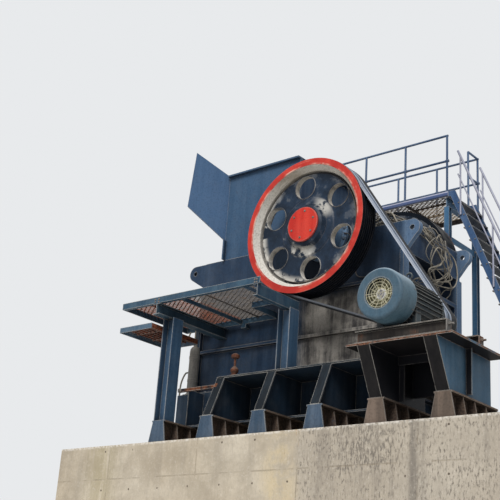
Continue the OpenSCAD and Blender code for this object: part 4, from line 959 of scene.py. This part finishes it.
piece("motor_conduit", [hose(conduit, 0.021, 20)], hose_rubber)
ring = [(0.046, 0.0), (0.064, 0.0), (0.066, 0.006), (0.062, 0.012), (0.050, 0.012), (0.046, 0.008)]
piece("fan_hub_ring", [turned(ring, (MOTOR_X, -2.361, MOTOR_Z), TO_VIEWER, 40, loop=True)],
      pale_ring, body="motor_rotor")
shapes = []
plate_x0, plate_x1, screw_z = 2.793, 2.808, 4.0
for y in (-2.185, -1.445):
    shapes += [swept([(plate_x0, y, 3.978), (plate_x1, y, 3.978)], slab(0.10, 0.142, 0.006)),
               turned([(0.013, 0.0), (0.013, 0.055)], (2.81, y, screw_z), TO_MOTOR_END, 12),
               bolts((plate_x1, y, screw_z), TO_MOTOR_END, 0.022)]
piece("motor_tension_screws", shapes, bolt_steel)


# Decks of expanded metal, on bearers

x0, notch_x, x1 = -2.523, -0.772, -0.30
y0, notch_y, y1 = -2.163, -1.372, -0.812
bearer_z = PLATFORM_TOP - 0.022
shapes = [diamond_mesh(x0, notch_x, y0, y1, PLATFORM_TOP),
          diamond_mesh(notch_x, x1, y0, notch_y, PLATFORM_TOP)]
shapes += [swept([(x, y0, bearer_z), (x, y1, bearer_z)], slab(0.006, 0.02, 0.002)) for x in (-2.15, -1.10)]
piece("near_deck_mesh", shapes, rusty_deck, stands_for=["near_platform_grating"])
x0, x1, y0, y1 = -1.588, 0.788, 1.342, 2.413
bearer_z = WALKWAY_TOP - 0.024
shapes = [diamond_mesh(x0, x1, y0, y1, WALKWAY_TOP)]
shapes += [swept([(x0, y, bearer_z), (x1, y, bearer_z)], slab(0.008, 0.03, 0.002)) for y in (1.70, 2.06)]
piece("walkway_deck_mesh", shapes, cream_deck, stands_for=["walkway_grating"])


# Pipes, hoses and small fittings

vessel = [(0.095, 0.0), (0.095, 0.018), (0.076, 0.020), (0.076, 0.66), (0.070, 0.70), (0.052, 0.73),
          (0.030, 0.742), (0.030, 0.77)]
strap = [(0.080, 0.0), (0.080, 0.03)]
vessel_x, vessel_y = -2.13, -1.01
piece("service_vessel", [turned(profile, (vessel_x, vessel_y, z), UP, 28)
                         for profile, z in ((vessel, GIRDER_TOP), (strap, 4.10), (strap, 4.45))],
      vessel_paint)
long_tube = [(vessel_x, vessel_y, 4.65), (vessel_x, -1.02, 4.70), (-2.20, -1.02, 4.715), (-2.34, -1.00, 4.70),
             (-2.40, -0.92, 4.78), (-2.40, -0.86, 4.93)]
low_tube = [(-2.19, -1.03, 4.24), (-2.24, -1.06, 4.22), (-2.29, -1.08, 4.08), (-2.30, -1.085, 3.895)]
piece("service_tubes", [hose(long_tube, 0.012, 30, sides=8),
                        swept([(vessel_x, -1.03, 4.69), (vessel_x, -1.03, 4.99)], circle(0.012, 8), AWAY),
                        hose(low_tube, 0.012, 20, sides=8)], hose_rubber)
valve = [(0.062, 0.0), (0.062, 0.014), (0.036, 0.018), (0.040, 0.05), (0.054, 0.07), (0.054, 0.10),
         (0.034, 0.125), (0.016, 0.14), (0.015, 0.25), (0.050, 0.255), (0.058, 0.275), (0.055, 0.30),
         (0.030, 0.315)]
piece("stop_valve", [turned(valve, (-0.75, -1.655, GIRDER_TOP), UP, 24)], rusty_rods)
pin = [(0.030, 0.0), (0.030, 0.012), (0.020, 0.016), (0.020, 0.026)]
piece("tie_bar_pins", [turned(pin, (x, -1.734, 3.768), TO_VIEWER, 20) for x in (-1.66, -0.97)],
      bolt_steel)


def hose_tangle(starts, ends, middle, spread, radii, seed):
    """Hoses from a row of starts to a row of ends, each over three middle points that lie a
    seeded random step from the given ones, so that they cross loosely."""
    chance = np.random.default_rng(seed)
    made = []
    for k, (start, end) in enumerate(zip(starts, ends)):
        start, end = np.asarray(start, float), np.asarray(end, float)
        lift = start + (0.05, 0, 0.07 + 0.05 * chance.random())
        over = [point + chance.uniform(-1, 1, 3) * spread for point in np.asarray(middle, float)]
        near_end = end + (0.09, 0, 0.07 + 0.05 * chance.random())
        made.append(hose([start, lift, *over, near_end, end], radii[k % len(radii)], 44, (0.25, 1, 0.2)))
    return made


rows = np.linspace(-0.52, 0.50, 15)
swapped = rows[[3, 0, 5, 1, 7, 2, 9, 4, 11, 6, 13, 8, 14, 10, 12]]
piece("rear_hoses", hose_tangle(
    [(1.12 + 0.14 * ((3 * k) % 7) / 6, y, 6.043) for k, y in enumerate(rows)],
    [(1.16 + 0.13 * ((2 * k) % 5) / 4, 0.75 * y, 5.247) for k, y in enumerate(swapped)],
    [(1.40, -0.08, 5.98), (1.47, -0.04, 5.72), (1.43, -0.02, 5.46)], (0.07, 0.36, 0.12),
    (0.006, 0.009, 0.007, 0.010, 0.005), 7), hose_rubber)
piece("top_hoses", hose_tangle(
    [(0.46 + 0.04 * k, -0.66 + 0.09 * k, 6.072) for k in range(6)],
    [(1.12 + 0.02 * k, -0.60 + 0.11 * k, 6.043) for k in range(6)],
    [(0.66, -0.42, 6.30), (0.86, -0.40, 6.34), (1.02, -0.38, 6.22)], (0.05, 0.16, 0.06),
    (0.009, 0.012, 0.007), 3), hose_rubber)
shapes = []
for side in (-1, 1):
    wall, block_face, block_z = side * 0.738, side * 0.76, 5.36
    pipe = [(0.345, side * 0.79, 6.05), (0.44, side * 0.78, 6.0), (0.50, wall, 5.80), (0.52, wall, 5.50),
            (0.62, wall, block_z), (1.06, wall, block_z)]
    shapes += [hose(pipe, 0.008, 40, (0.3, 1, 0.2)),
               swept([(1.06, side * 0.726, block_z), (1.06, block_face, block_z)], slab(0.10, 0.05, 0.006)),
               bolts(grid((1.03, 1.09), block_face, block_z), (0, side, 0), 0.007)]
piece("grease_pipes", shapes, bolt_steel)
